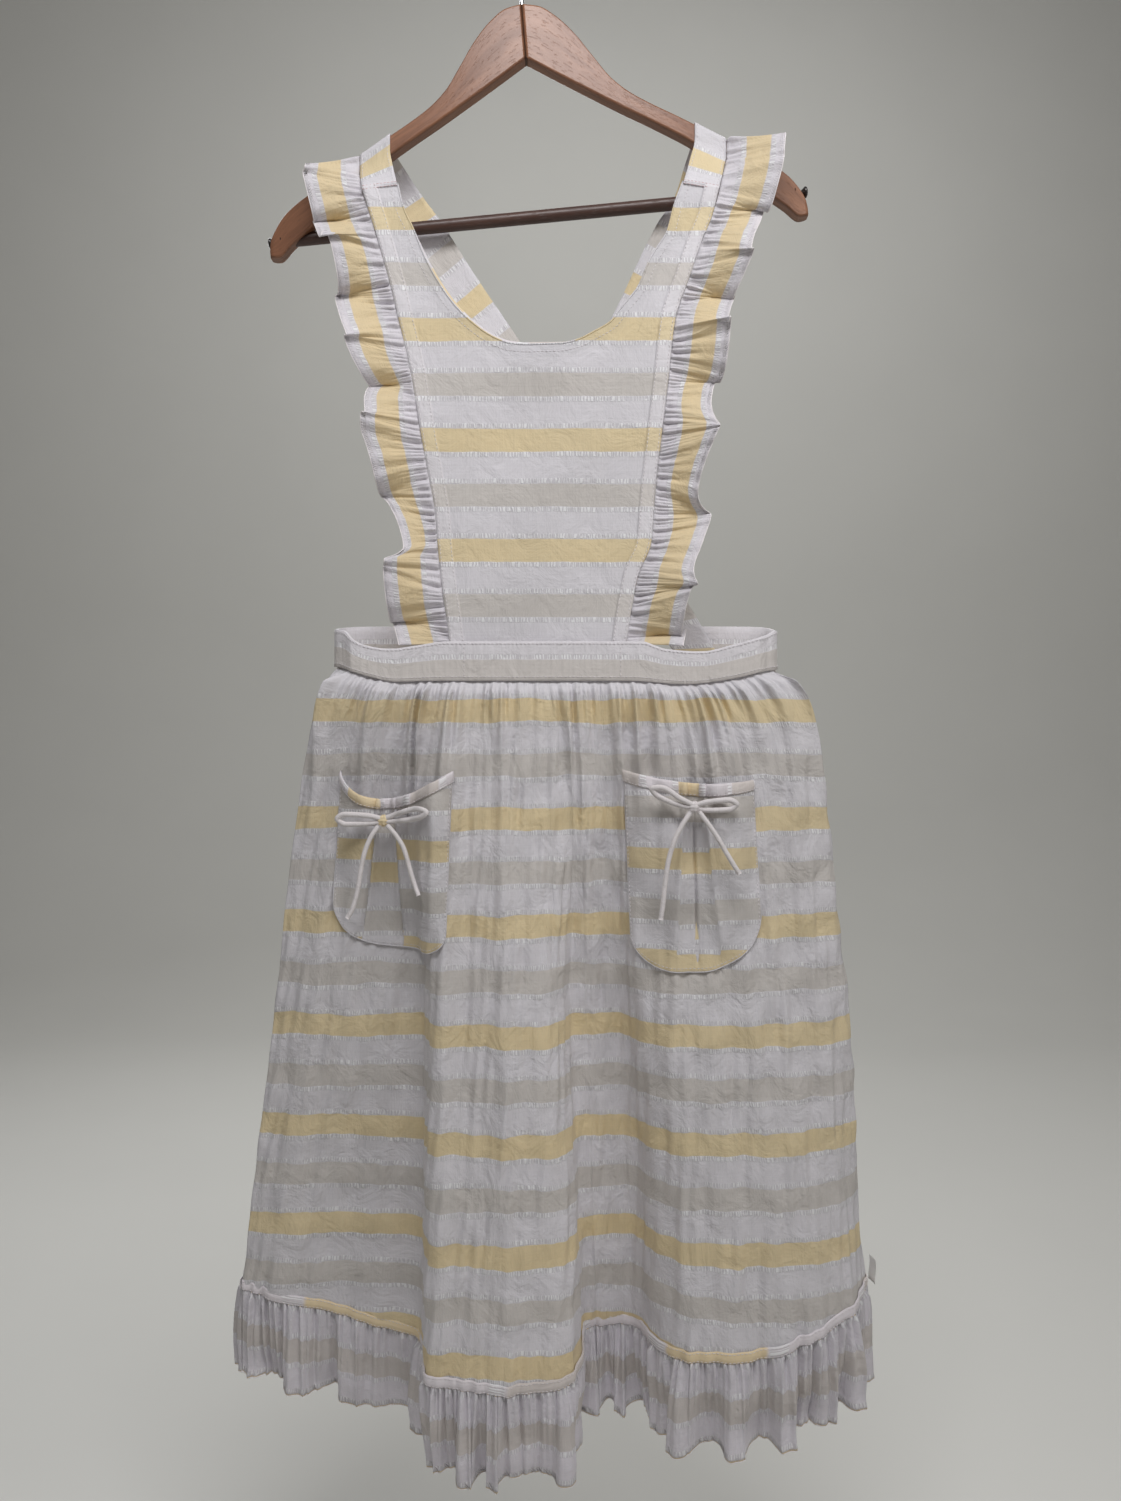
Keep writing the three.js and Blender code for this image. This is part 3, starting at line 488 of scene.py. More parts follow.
cx, cz = -18.25 * math.sin(TH), -18.25 * math.cos(TH)
hp = []
for a in np.arange(205, -48.1, -11.5):
    hp.append((cx + 20 * math.cos(math.radians(a)), 0, cz + 20 * math.sin(math.radians(a))))
hp += [(6.6, 0, -39.5), (1.6, 0, -46), (0, 0, -54), (0, 0, -64), (0, 0, -76), (0, 0, -98)]
HK = tilt(spline3(hp, np.linspace(0, 1, 150)))
rad = np.full(150, 1.74)
rad[:5] = [0.5, 1.15, 1.5, 1.66, 1.74]
o = tube("hook_wire_steel", HK, rad, 24, STEEL, "hook")
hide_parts("hook_wire")

# ------------------------------------------------------------------ bib
OUT_L = np.array([[-121.9, -216], [-113.3, -243], [-105, -271.4], [-97.8, -297], [-92.5, -320], [-87.9, -338.6], [-81.5, -369.4], [-75.1, -408], [-68.7, -444.7], [-63.2, -475.7], [-61.3, -499.5], [-57.7, -534.3], [-54, -558], [-50.4, -592]])
OUT_R = np.array([[162.6, -215.7], [157.1, -238], [149.1, -258], [139.5, -285.8], [127.4, -322], [121.9, -369.7], [116.5, -415.4], [111.9, -457.5], [108.2, -499.5], [98.1, -525], [92.6, -552.6], [87, -592]])
NECK = np.array([[-93.5, -212.5], [-88.9, -231.6], [-81.1, -248.8], [-70.4, -274.4], [-59, -294.3], [-47.6, -310], [-33.4, -324.1], [-16.3, -335.5], [-2.2, -340.6], [12.1, -341.9], [36, -341.2], [50.3, -337.7], [61.5, -332], [77.4, -322.4], [83, -314.4], [90.2, -305.7], [97.3, -296.9], [101.3, -288.9], [106.9, -274.6], [115.7, -260.3], [121.2, -251.5], [127, -230.3], [134, -211]])


def curve2(pts, t):
    p3 = np.stack([pts[:, 0], np.zeros(len(pts)), pts[:, 1]], -1)
    q = spline3(p3, t)
    return q[..., [0, 2]]


def bib_y(x, z):
    """Soft fall of the bib: slack just under the neckline, flat at the seams."""
    return -2 + 1.1 * noise2(x / 90, z / 120, 5) - 2.0 * np.exp(-((z + 352) / 22) ** 2) * np.exp(-((x - 20) / 45) ** 2)


na, nb = 150, 170
ta = np.linspace(0, 1, na)
tb = np.linspace(0, 1, nb)
top = np.zeros((na, 2))
k0, k1 = 0.14, 0.86
m0 = ta < k0
m1 = ta > k1
top[m0] = OUT_L[0] + (NECK[0] - OUT_L[0]) * (ta[m0] / k0)[:, None]
top[m1] = NECK[-1] + (OUT_R[0] - NECK[-1]) * ((ta[m1] - k1) / (1 - k1))[:, None]
mm_ = ~(m0 | m1)
top[mm_] = curve2(NECK, (ta[mm_] - k0) / (k1 - k0))
bot = np.array([-50.4, -592]) + (np.array([87, -592]) - np.array([-50.4, -592])) * ta[:, None]
lef = curve2(OUT_L[::-1], tb)
rig = curve2(OUT_R[::-1], tb)
A, B = ta[:, None, None], tb[None, :, None]
XZ = (1 - B) * bot[:, None] + B * top[:, None] + (1 - A) * lef[None] + A * rig[None] - ((1 - A) * (1 - B) * bot[0] + A * (1 - B) * bot[-1] + (1 - A) * B * top[0] + A * B * top[-1])
X, Z = XZ[..., 0], XZ[..., 1]
Y = bib_y(X, Z)
P = np.stack([X, Y, Z], -1)
o = sheet("bib_cloth", P, X * MM, (-Z - 241.2) * MM, COTTON)
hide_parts("bib_panel")
BIB = P


def off_curve(pts, t, w, side):
    c = curve2(pts, t)
    d = unit(np.gradient(c, axis=0))
    return np.stack([c[:, 0] - side * d[:, 1] * w, c[:, 1] + side * d[:, 0] * w], -1)


def edge_strip(name, pts, side, node):
    t = np.linspace(0, 1, 170)
    ws = np.linspace(-0.2, 11.8, 9)
    P = np.zeros((len(t), len(ws), 3))
    for j, w in enumerate(ws):
        q = off_curve(pts, t, w, side)
        f = (w + 0.2) / 12.0
        P[:, j, 0], P[:, j, 2] = q[:, 0], q[:, 1]
        puck = 0.28 * noise1(t * 60, 31 + side, 3) * np.sin(np.pi * f)
        P[:, j, 1] = bib_y(q[:, 0], q[:, 1]) - 0.55 - 0.55 * np.sin(np.pi * np.clip(f, 0, 1)) ** 0.5 + puck
    o = sheet(name, P, P[..., 0] * MM, (-P[..., 2] - 241.2) * MM, COTTON_BAND, 0.4)
    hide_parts(node)
    front = np.tile(np.array([0, -1.0, 0]), (len(t), 1))
    runs = []
    for w in (1.6, 10.4):
        q = off_curve(pts, t, w, side)
        runs.append((np.stack([q[:, 0], bib_y(q[:, 0], q[:, 1]) - 1.32, q[:, 1]], -1), front))
    stitches(name + "_stitching", runs)


edge_strip("bib_edge_left_cloth", OUT_L, 1, "bib_edge_strip_left")
edge_strip("bib_edge_right_cloth", OUT_R, -1, "bib_edge_strip_right")

# neckline: an inside facing that just shows, a rolled edge, and a row of stitches below it
t = np.linspace(0, 1, 180)
ws = np.linspace(-10, 2.2, 8)
P = np.zeros((len(t), len(ws), 3))
show = 0.35 + 0.65 * smooth((0.62 - t) / 0.15) * smooth((t - 0.10) / 0.1)
for j, w in enumerate(ws):
    ww = np.where(w > 0, w * show, w)
    c = curve2(NECK, t)
    d = unit(np.gradient(c, axis=0))
    P[:, j, 0] = c[:, 0] - d[:, 1] * ww
    P[:, j, 2] = c[:, 1] + d[:, 0] * ww
    P[:, j, 1] = bib_y(P[:, j, 0], P[:, j, 2]) + 1.0
s_neck = arc(np.stack([c[:, 0], c[:, 0] * 0, c[:, 1]], -1)) * MM
o = sheet("neckline_facing_cloth", P, (ws[None] * MM) + 0 * s_neck[:, None], s_neck[:, None] * 0.42 - 0.040 + 0 * ws[None], COTTON_BIND, 0.4)
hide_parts("neckline_facing")
c = curve2(NECK, t)
roll = np.stack([c[:, 0], bib_y(c[:, 0], c[:, 1]) - 0.1, c[:, 1]], -1)
o = tube("neckline_rolled_edge", roll, 0.75, 8, COTTON, vz=-241.2)
q = off_curve(NECK, t, -6.0, 1)
stitches("neckline_stitching", [(np.stack([q[:, 0], bib_y(q[:, 0], q[:, 1]) - 0.35, q[:, 1]], -1), np.tile(np.array([0, -1.0, 0]), (len(t), 1)))])

# ------------------------------------------------------------------ back straps over the arms
def arm_top_world(x):
    c, s = math.cos(TH), math.sin(TH)
    xl = x * c
    for _ in range(5):
        zl = pchip(ARM_TOP[:, 0], ARM_TOP[:, 1], abs(xl))
        xl = (x + zl * s) / c
    zl = float(pchip(ARM_TOP[:, 0], ARM_TOP[:, 1], abs(xl)))
    return xl * s + zl * c, float(sweep(xl))


def strap(name, node, seam, xs, ends):
    rows = []
    for side in (0, 1):
        x = xs[side]
        zt, y0 = arm_top_world(x)
        yf, yb = y0 - 6.5 - 1.0, y0 + 6.5 + 1.0
        pts = [(seam[side][0], -2.75, seam[side][1] - 2.0), (mix(seam[side][0], x, 0.6), mix(-2.6, yf, 0.55), mix(seam[side][1], zt - 14, 0.55)), (x, yf, zt - 12), (x, yf, zt - 1), (x, yf + 2.0, zt + 1.3), (x, y0, zt + 1.9), (x, yb - 2.0, zt + 1.3), (x, yb, zt - 1)]
        pts += [e[side] for e in ends]
        rows.append(np.array(pts, float))
    n, w = 260, 13
    # common stations, by the mean arc length of the two edges
    mid = (rows[0] + rows[1]) / 2
    d = arc(mid)
    t = np.linspace(0, d[-1], n)
    E = [np.stack([pchip(d, r[:, i], t) for i in range(3)], -1) for r in rows]
    u = np.linspace(0, 1, w)
    P = E[0][:, None] * (1 - u)[None, :, None] + E[1][:, None] * u[None, :, None]
    P[..., 1] += 0.9 * noise2(np.broadcast_to(u[None] * 0.6, (n, w)), np.broadcast_to(t[:, None] / 130, (n, w)), 17 + len(name)) * smooth((t - 110) / 60)[:, None] * smooth((t[-1] - t) / 40)[:, None]
    P[..., 1] += (0.35 * np.sin(np.pi * u)[None] * smooth((t - 100) / 60)[:, None])
    o = sheet(name, P, u[None] * 0.031 + 0 * t[:, None], (t[:, None] - 27.0) * MM + 0 * u[None], COTTON, 0.5)
    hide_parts(node)
    T = np.gradient(P, axis=0)
    S = np.gradient(P, axis=1)
    N = unit(np.cross(T, S))
    if N[5, 6, 1] > 0:
        N = -N
    runs = []
    for j in (1, w - 2):
        runs.append((P[:, j] + N[:, j] * 0.3, N[:, j]))
    stitches(name + "_stitching", runs)
    # the shoulder seam, in pink thread
    a, b = P[0, 0] + np.array([0, 0, 1.6]), P[0, -1] + np.array([0, 0, 1.6])
    L = np.linspace(0, 1, 20)[:, None]
    for k, dz in ((0, 1.2), (1, -1.6)):
        stitches(name + "_seam_%d" % k, [(a * (1 - L) + b * L + np.array([0, -0.42, dz]), np.tile(np.array([0, -1.0, 0]), (20, 1)))], THREAD_PINK, 2.2, 0.5, 0.26)
    return P[:, 0]


STRAP_L = strap("back_strap_left_cloth", "back_strap_left", [(-121.9, -216), (-93.5, -212.5)], (-126, -101), [((-121, 40, -206), (-91, 36, -185)), ((-109, 43.6, -224), (-77, 43.0, -204)), ((-94, 44.8, -243), (-64, 44.8, -221)), ((-67, 45.3, -281), (-40, 45.3, -259)), ((-31, 45.5, -334), (-4, 45.5, -312)), ((25, 46, -419), (53, 46, -401)), ((84, 46, -506), (112, 46, -488)), ((134, 47, -586), (170, 47, -586))])
STRAP_R = strap("back_strap_right_cloth", "back_strap_right", [(162.6, -215.7), (134, -211)], (171, 145), [((166, 43.8, -201), (138, 35, -184)), ((160, 46, -219), (131, 44, -203)), ((151, 47, -240), (118, 45.4, -222)), ((108, 50, -319), (78, 50, -303)), ((55, 50.5, -417), (25, 50.5, -401)), ((8, 49, -506), (-22, 49, -490)), ((-34, 47, -586), (-70, 47, -586))])

# ------------------------------------------------------------------ bib ruffles
def matched(pts, z_seam, t):
    """A path sampled so that its crest and its shoulder seam fall at fixed stations."""
    k = np.linspace(0, 1, 1500)
    P = spline3(pts, k)
    i = int(np.argmax(P[:, 2]))
    j = i + int(np.argmax(P[i:, 2] < z_seam))
    # stations further down, level with each other
    keys, want = [0.0, k[i], k[j]], [0.0, 0.12, 0.20]
    for q in range(1, 8):
        z = z_seam - (z_seam + 579.0) * q / 8
        m = np.arange(j, len(k))
        keys.append(float(k[m[np.argmin(np.abs(P[m, 2] - z))]]))
        want.append(0.20 + 0.80 * q / 8)
    keys.append(1.0)
    want.append(1.0)
    keys = np.maximum.accumulate(np.array(keys) + np.arange(len(keys)) * 1e-6)
    kk = np.interp(t, want, keys)
    w = 41
    pad = np.concatenate([2 * kk[0] - kk[1:w // 2 + 1][::-1], kk, 2 * kk[-1] - kk[-w // 2:-1][::-1]])
    kk = np.clip(np.convolve(pad, np.ones(w) / w, "valid")[:len(t)], 0, 1)
    return spline3(pts, kk)


def bib_ruffle(name, node, inner, outer, knots, seed):
    n, w = 760, 24
    t = np.linspace(0, 1, n)
    I, O = matched(inner, -216.0, t), matched(outer, -219.0, t)
    D = O - I
    T = unit(np.gradient(I, axis=0))
    N = unit(np.cross(unit(D), T))
    # the outward side: toward the front at the waist, carried up and over from there
    if N[-1, 1] > 0:
        N[-1] = -N[-1]
    for i in range(n - 2, -1, -1):
        if N[i].dot(N[i + 1]) < 0:
            N[i] = -N[i]
    ker = np.ones(25) / 25
    pad = np.pad(N, ((12, 12), (0, 0)), mode="edge")
    N = unit(np.stack([np.convolve(pad[:, i], ker, "valid") for i in range(3)], -1))
    # where each fold turns: heights on the front, evenly over the shoulder
    top = int(np.argmax(O[:, 2]))
    kt, kp = [], []
    for z, p in knots:
        m = np.arange(top, n)
        i = m[np.argmin(np.abs(O[m, 2] - z))]
        kt.append(t[i])
        kp.append(p)
    p0 = kp[0]
    kt = [0.0] + kt + ([1.0] if kt[-1] < 0.999 else [])
    kp = [p0 - kt[1] * 9.0] + kp + ([kp[-1] + 0.25] if len(kt) > len(kp) + 1 else [])
    th = 2 * np.pi * pchip(kt, kp, t)
    over = smooth((t - t[top] - 0.02) / 0.08)
    amp = (4.5 + 9.5 * over) * (1 + 0.22 * noise1(t * 5, seed, 3)) * smooth(t / 0.04)
    u = np.linspace(0, 1, w)
    W = u[None, :, None]
    e1, e2 = (u ** 0.9)[None, :, None], (u ** 1.4)[None, :, None]
    sn = np.sin(th) + 0.22 * np.sin(2 * th + 0.9)
    P = I[:, None] + D[:, None] * W
    P = P + N[:, None] * e1 * (amp * sn + 1.0)[:, None, None]
    P = P + T[:, None] * e2 * ((2.0 + 6.5 * over) * np.sin(2 * th + 0.35))[:, None, None]
    # gathers that start at the seam and fan out a short way
    g = noise1(t * 30, seed + 1, 4) + 0.8 * noise1(t * 55, seed + 2, 3)
    g2 = noise1(t * 17, seed + 3, 3)
    f = g[:, None] * 2.1 * (np.exp(-((u / 0.38) ** 1.6)) * smooth(u / 0.07))[None] + g2[:, None] * 1.9 * (np.sin(np.pi * np.clip(u * 0.75, 0, 1)))[None]
    P = P + N[:, None] * f[..., None]
    U = arc(P[:, -1]) * MM
    o = sheet(name, P, U[:, None] + 0 * u[None], u[None] * 0.044 - 0.0245 + 0 * t[:, None], COTTON_RUFFLE, 0.4)
    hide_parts(node)
    overlock(name + "_overlock", P, P[:, -1], P[:, -3])
    return P


def seam_path(strap_edge, out, sgn, z_back):
    """From behind the shoulder, over it along the strap's outer edge, then down the bib's edge."""
    i = int(np.argmax(strap_edge[:, 1] > 30))
    j = i + int(np.argmax(strap_edge[i:, 2] < z_back))
    back = strap_edge[8:j:6][::-1] + np.array([sgn * 0.4, 0, 0])
    front = [(x + sgn * 0.4, -2.2, z) for x, z in out[1:-1]]
    return [tuple(q) for q in back] + front + [(out[-1][0] + sgn * 0.4 - sgn * 1.5, -2.2, -580)]


RL_IN = seam_path(STRAP_L, OUT_L, -1, -246)
RR_IN = seam_path(STRAP_R, OUT_R, 1, -240)
RL_OUT = [(-122, 53, -272), (-142, 51, -256), (-160, 48, -228), (-169, 41, -203), (-169, 26, -192), (-168, 10, -191), (-167, -1, -197.5), (-166.8, -5, -213.6), (-163.6, -6, -226), (-155.7, -7, -255), (-144.7, -8, -268), (-142.3, -9, -278), (-139.9, -9, -313), (-134.4, -9, -332.7), (-131.5, -9, -352), (-108, -8, -374), (-119.5, -10, -387), (-120.2, -11, -418), (-115.8, -10, -428), (-104, -9, -463), (-88.5, -7, -499), (-103.5, -8, -508), (-102, -9, -542), (-97, -7, -562), (-92.5, -5, -578)]
RR_OUT = [(168, 56, -262), (190, 54, -240), (208, 49, -204), (215, 40, -178), (215, 24, -169), (215.5, 8, -168), (216, -2, -174), (214, -5, -200), (204.8, -6, -224), (196, -7, -236), (185.5, -8, -283), (171.5, -8, -304), (170.5, -9, -326), (169.5, -9, -345), (155, -9, -388), (163.5, -10, -404), (161.5, -11, -420), (145.5, -10, -453), (154, -10, -482), (145, -9, -514), (146.5, -9, -527), (134.6, -7, -558), (134.2, -5, -579)]
bib_ruffle("bib_ruffle_left_cloth", "bib_ruffle_left", RL_IN, RL_OUT, [(-212, 0.25), (-240, 0.75), (-262, 1.25), (-300, 1.75), (-343, 2.25), (-372, 2.75), (-404, 3.25), (-462, 3.75), (-523, 4.25), (-562, 4.75)], 41)
bib_ruffle("bib_ruffle_right_cloth", "bib_ruffle_right", RR_IN, RR_OUT, [(-196, 0.25), (-232, 0.75), (-276, 1.25), (-303, 1.75), (-330, 2.25), (-372, 2.75), (-415, 3.25), (-476, 3.75), (-538, 4.25), (-573, 4.75)], 57)

# ------------------------------------------------------------------ waistband
BT = np.array([[-143, -567], [-139, -567.5], [-123, -579.7], [-99, -583.9], [-82, -582], [-52, -578], [100, -578], [120, -584], [147, -586], [173, -580.7], [204, -571], [209, -568]])
BL = np.array([[-143, -596.5], [-118, -605.2], [-94, -610], [-58, -609.3], [88, -609.3], [137, -612], [173, -607.7], [205, -600.4], [209, -600]])


def band_top(x):
    return pchip(BT[:, 0], BT[:, 1], x)


def band_low(x):
    return pchip(BL[:, 0], BL[:, 1], x)


def band_y(x):
    return -6.4 + 12 * smooth((-125 - x) / 18) + 12 * smooth((x - 190) / 18)


# the band's run: back left end, left fold, front, right fold, back right end
run = [(-31, 51, -560, -592), (-80, 50.5, -560, -592), (-128, 48, -560.5, -592.4), (-143.5, 42, -562, -593), (-147, 30, -564, -595), (-146.3, 18, -566, -596.5), (-143.2, 8, -567, -597)]
for x in np.linspace(-136, 201, 42):
    run.append((x, float(band_y(x)), float(band_top(x)), float(band_low(x))))
run += [(208.4, 8, -568, -600), (211.5, 18, -567, -598), (211.8, 30, -565, -596), (208, 42, -562, -593), (194, 48, -560.5, -592.4), (160, 50.5, -560, -592), (131, 51, -560, -592)]
run = np.array(run)
d = arc(run[:, :2])
nn = 520
s = np.linspace(0, d[-1], nn)
R = np.stack([pchip(d, run[:, i], s) for i in range(4)], -1)
ctr = np.stack([R[:, 0], R[:, 1], (R[:, 2] + R[:, 3]) / 2], -1)
tan = unit(np.gradient(R[:, :2], axis=0))
outn = np.stack([tan[:, 1], -tan[:, 0], 0 * s], -1)  # away from the wearer
sec = [(1.0, q) for q in np.linspace(0.97, -0.97, 12)] + [(0.6, -1.0), (-0.6, -1.0)] + [(-1.0, q) for q in np.linspace(-0.97, 0.97, 6)] + [(-0.6, 1.0), (0.6, 1.0)]
sec = np.array(sec)
half = (R[:, 2] - R[:, 3]) / 2
P = np.zeros((nn, len(sec), 3))
puck = noise1(s / 9.0, 71, 4)
for j, (a, q) in enumerate(sec):
    o_ = a * 1.15 + (0.35 * puck * (1 - q * q) if a > 0.9 else 0)
    # the lower seam is slightly piped, and the top is pressed flat
    pipe = 0.6 * math.exp(-((q + 0.93) / 0.08) ** 2) if a > 0 else 0
    P[:, j] = ctr + outn * (o_ + pipe)[:, None] if isinstance(o_, np.ndarray) else ctr + outn * (o_ + pipe)
    P[:, j, 2] += q * half
V = np.array([(1 - q) * 15.5 for a, q in sec])[None] * MM + 0.0205
U = (s * MM)[:, None]
uv = np.stack([np.broadcast_to(U, (nn, len(sec))), np.broadcast_to(V, (nn, len(sec)))], -1).reshape(-1, 2)
faces = grid_faces(nn, len(sec), True).tolist() + [list(range(len(sec)))[::-1], [(nn - 1) * len(sec) + i for i in range(len(sec))]]
o = obj_from("waistband_cloth", P.reshape(-1, 3), faces, uv, COTTON_BAND)
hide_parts("waistband_front", "waistband_back_left", "waistband_back_right")
runs = []
for q in (0.88, -0.80):
    c = ctr + outn * 1.55
    c = c.copy()
    c[:, 2] += q * half
    runs.append((c, outn))
stitches("waistband_stitching", runs)
for i, (x, z) in enumerate(((-40, 0), (84, 0))):
    c = np.stack([np.full(9, x), np.full(9, float(band_y(x)) - 1.5), np.linspace(float(band_top(x)) - 3, float(band_low(x)) + 3, 9)], -1)
    stitches("waistband_join_%d" % i, [(c, np.tile(np.array([0, -1.0, 0]), (9, 1)))])

# ------------------------------------------------------------------ skirt
HEM = np.array([[0, -232, 50], [0.05, -208, 46], [0.12, -160, 47], [0.18, -112, 46], [0.21, -85, 38], [0.23, -75.5, 14], [0.25, -71, -10], [0.275, -61, -22], [0.33, -33, -27], [0.4, 0, -28], [0.45, 34, -25], [0.475, 45, -14], [0.495, 48, 10], [0.52, 51, 36], [0.55, 66, 49], [0.6, 92, 46], [0.64, 107, 28], [0.67, 118, 2], [0.71, 140, -19], [0.78, 185, -24], [0.86, 232, -18], [0.93, 268, -2], [0.98, 286, 20], [1, 289, 32]])
HEM_V = HEM.copy()
HEM_V[:, 1] = [-232, -208, -160, -112, -80, -74, -71, -62, -33, 2, 37, 50, 53.5, 53, 66, 92, 108, 119, 140, 185, 232, 268, 286, 289]
HEM_Z = np.array([[0, -1117], [0.05, -1124], [0.12, -1134], [0.2, -1151], [0.25, -1158], [0.32, -1161], [0.4, -1163], [0.47, -1158], [0.55, -1146], [0.62, -1146], [0.71, -1142], [0.78, -1139], [0.86, -1126], [0.93, -1112], [1, -1098]])


def flare(d, a, t, p):
    d = np.clip(d, 0, 1)
    return a * (1 - np.exp(-d / t)) * (1 - d) ** p


def skirt_base(s, d):
    xw = mix(-142.5, 207.5, s)
    yw, zw = band_y(xw), band_low(xw) - 0.4
    xh, yh = pchip(HEM_V[:, 0], HEM_V[:, 1], s), pchip(HEM_V[:, 0], HEM_V[:, 2], s)
    zh = pchip(HEM_Z[:, 0], HEM_Z[:, 1], s)
    k = np.clip(d, 0, 1.2) ** 0.94
    f = np.where(s < 0.5, -flare(d, 16, 0.05, 1.2) * np.clip(1 - 2 * s, 0, 1) ** 2, flare(d, 28, 0.05, 0.8) * np.clip(2 * s - 1, 0, 1) ** 2)
    return np.stack([mix(xw, xh, k) + f, mix(yw, yh, k), mix(zw, zh, d)], -1)


def pleats(s, dmm, seed, n, lo, hi, amp):
    """Gathers: ridges of differing length that start at the band and widen as they run down."""
    r = np.random.default_rng(seed)
    out = np.zeros(np.broadcast(s, dmm).shape)
    for k in range(n):
        c = (k + 0.5 + 0.5 * (r.random() - 0.5)) / n
        ln = lo * (hi / lo) ** (r.random() ** 1.6)
        w = (0.24 + 0.16 * r.random()) / n * (1 + dmm / (1.1 * ln + 20))
        a = amp * (0.5 + 0.9 * r.random()) * (0.7 + 0.5 * ln / hi)
        drift = (r.random() - 0.5) * 0.012 * dmm / 100
        out = out + a * np.exp(-(((s - c - drift) / w) ** 2)) * (0.12 + 0.88 * smooth(dmm / 10)) * np.exp(-((dmm / ln) ** 1.5))
    return out


def skirt_full(s, d, seed=101, n=54):
    P = skirt_base(s, d)
    e = 2e-3
    T = skirt_base(np.clip(s + e, 0, 1), d) - skirt_base(np.clip(s - e, 0, 1), d)
    N = unit(np.stack([T[..., 1], -T[..., 0], 0 * T[..., 0]], -1))
    ln = 545.0
    dmm = d * ln
    g = (pleats(s, dmm, seed, n, 22, 130, 12.0) + pleats(s, dmm, seed + 7, 26, 60, 300, 6.4)) * (0.78 + 0.42 * noise1(s * 6 + 0 * d, 99, 3))
    g = g - 2.2 * np.exp(-dmm / 60)
    puff = 5.0 * (1 - np.exp(-dmm / 9)) * np.exp(-dmm / 110)
    soft = 3.0 * noise2(s * 9 + 0 * d, d * 1.1 + 0 * s, 91, 9) * smooth(dmm / 120) * (1 - 0.25 * d)
    hang = 3.0 * noise1(s * 5.5 + 0 * d, 93, 3) * smooth(dmm / 200)
    return P + N * (g + puff + soft + hang + 1.1 * noise2(s * 34 + 0 * d, d * 9 + 0 * s, 96, 12) * smooth(dmm / 90))[..., None], N


ns, nd = (520, 260)
S, Dd = np.meshgrid(np.linspace(0, 1, ns), np.concatenate([np.linspace(-0.012, 0.25, 110), np.linspace(0.255, 1, nd - 110)]), indexing="ij")
SK, SKN = skirt_full(S, np.clip(Dd, 0, 1))
SK[..., 2] = np.where(Dd < 0, SK[..., 2] - Dd * 545, SK[..., 2])
base = skirt_base(S, np.clip(Dd, 0, 1))
V = (-base[..., 2] - 633.3) * (88 / 85) * MM + 0.0010 * noise2(S * 12, Dd * 5, 77)
o = sheet("skirt_front_cloth", SK, S * 0.72, V, COTTON_SKIRT, 0.4)
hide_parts("skirt_front")


def at_skirt(s, d=1.0):
    return skirt_full(np.asarray(s, float), np.full(np.shape(s), d))


# hem: binding laid over the seam, ruffle below it
def hem_trim(tag, path, length, wave_n, seed, nodes, phase, bindv):
    n = int(900 * length / 0.9)
    t = np.linspace(0, 1, n)
    H, N = path(t)
    # binding
    w = np.linspace(0, 1, 9)
    P = np.zeros((n, 9, 3))
    for j, q in enumerate(w):
        P[:, j] = H + N * (0.5 + 1.0 * math.sin(math.pi * q) ** 0.7 + 0.12 * noise1(t * 60, seed, 3)[:, None])
        P[:, j, 2] += 8.6 * q - 0.6
    s = arc(H) * MM
    o = sheet("hem_binding_%s_cloth" % tag, P, w[None] * 0.0088 + 0 * t[:, None], bindv(t)[:, None] + 0 * w[None], COTTON_BIND, 0.4)
    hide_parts(nodes[0])
    runs = []
    for q in (0.14, 0.86):
        c = H + N * 1.55
        c = c.copy()
        c[:, 2] += 8.6 * q - 0.6
        runs.append((c, N))
    stitches("hem_binding_%s_stitching" % tag, runs)
    # ruffle
    w = np.linspace(0, 1, 26)
    T = unit(np.gradient(H, axis=0))
    ph = 2 * np.pi * (wave_n * t + 0.55 * noise1(t * wave_n / 3.2, seed + 4, 3)) + phase
    amp = 10.3 * (1 + 0.35 * noise1(t * 7, seed + 5, 3))
    env = (w ** 0.9)[None]
    g1 = noise1(t * wave_n * 3.6, seed + 6, 2) + 0.5 * noise1(t * wave_n * 6.1, seed + 9, 2)
    g2 = noise1(t * wave_n * 9.5, seed + 7, 3)
    lobe = 2.1 * np.sqrt(np.cos(ph / 2) ** 2 + 0.012) - 1.25
    side = env * (amp * lobe)[:, None]
    side = side + g1[:, None] * 4.3 * (smooth(w / 0.10) * (1 - 0.45 * w))[None]
    side = side + g2[:, None] * 3.0 * (np.exp(-w / 0.30) * smooth(w / 0.05))[None] + 2.2 * np.sin(np.pi * np.clip(w * 1.1, 0, 1))[None]
    side = side + 2.0 * noise2(t[:, None] * wave_n * 1.1 + 0 * w[None], w[None] * 1.2 + 0 * t[:, None], seed + 8) * w[None]
    end = smooth(t / 0.022) * smooth((1 - t) / 0.022)
    side = side * end[:, None]
    P = H[:, None] + N[:, None] * side[..., None] + T[:, None] * (env * 2.4 * (end * np.sin(2 * ph + 0.7))[:, None])[..., None]
    drop = 70.5 * (1 + 0.025 * lobe)
    P[..., 2] = H[:, None, 2] + 0.5 - w[None] * drop[:, None]
    o = sheet("hem_ruffle_%s_cloth" % tag, P, (arc(P[:, -1]) * MM)[:, None] + 0 * w[None], 0.044 + (w[None] * 72 - 36) * MM + 0 * t[:, None], COTTON_RUFFLE, 0.4)
    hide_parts(nodes[1])
    overlock("hem_ruffle_%s_overlock" % tag, P, P[:, -1], P[:, -3], 2.1)
    return P


hem_trim("front", lambda t: at_skirt(0.002 + 0.996 * t), 0.82, 13, 201, ("hem_binding_front", "hem_ruffle_front"), 0.4, lambda t: 0.088 * (t - 0.155) / 0.585)

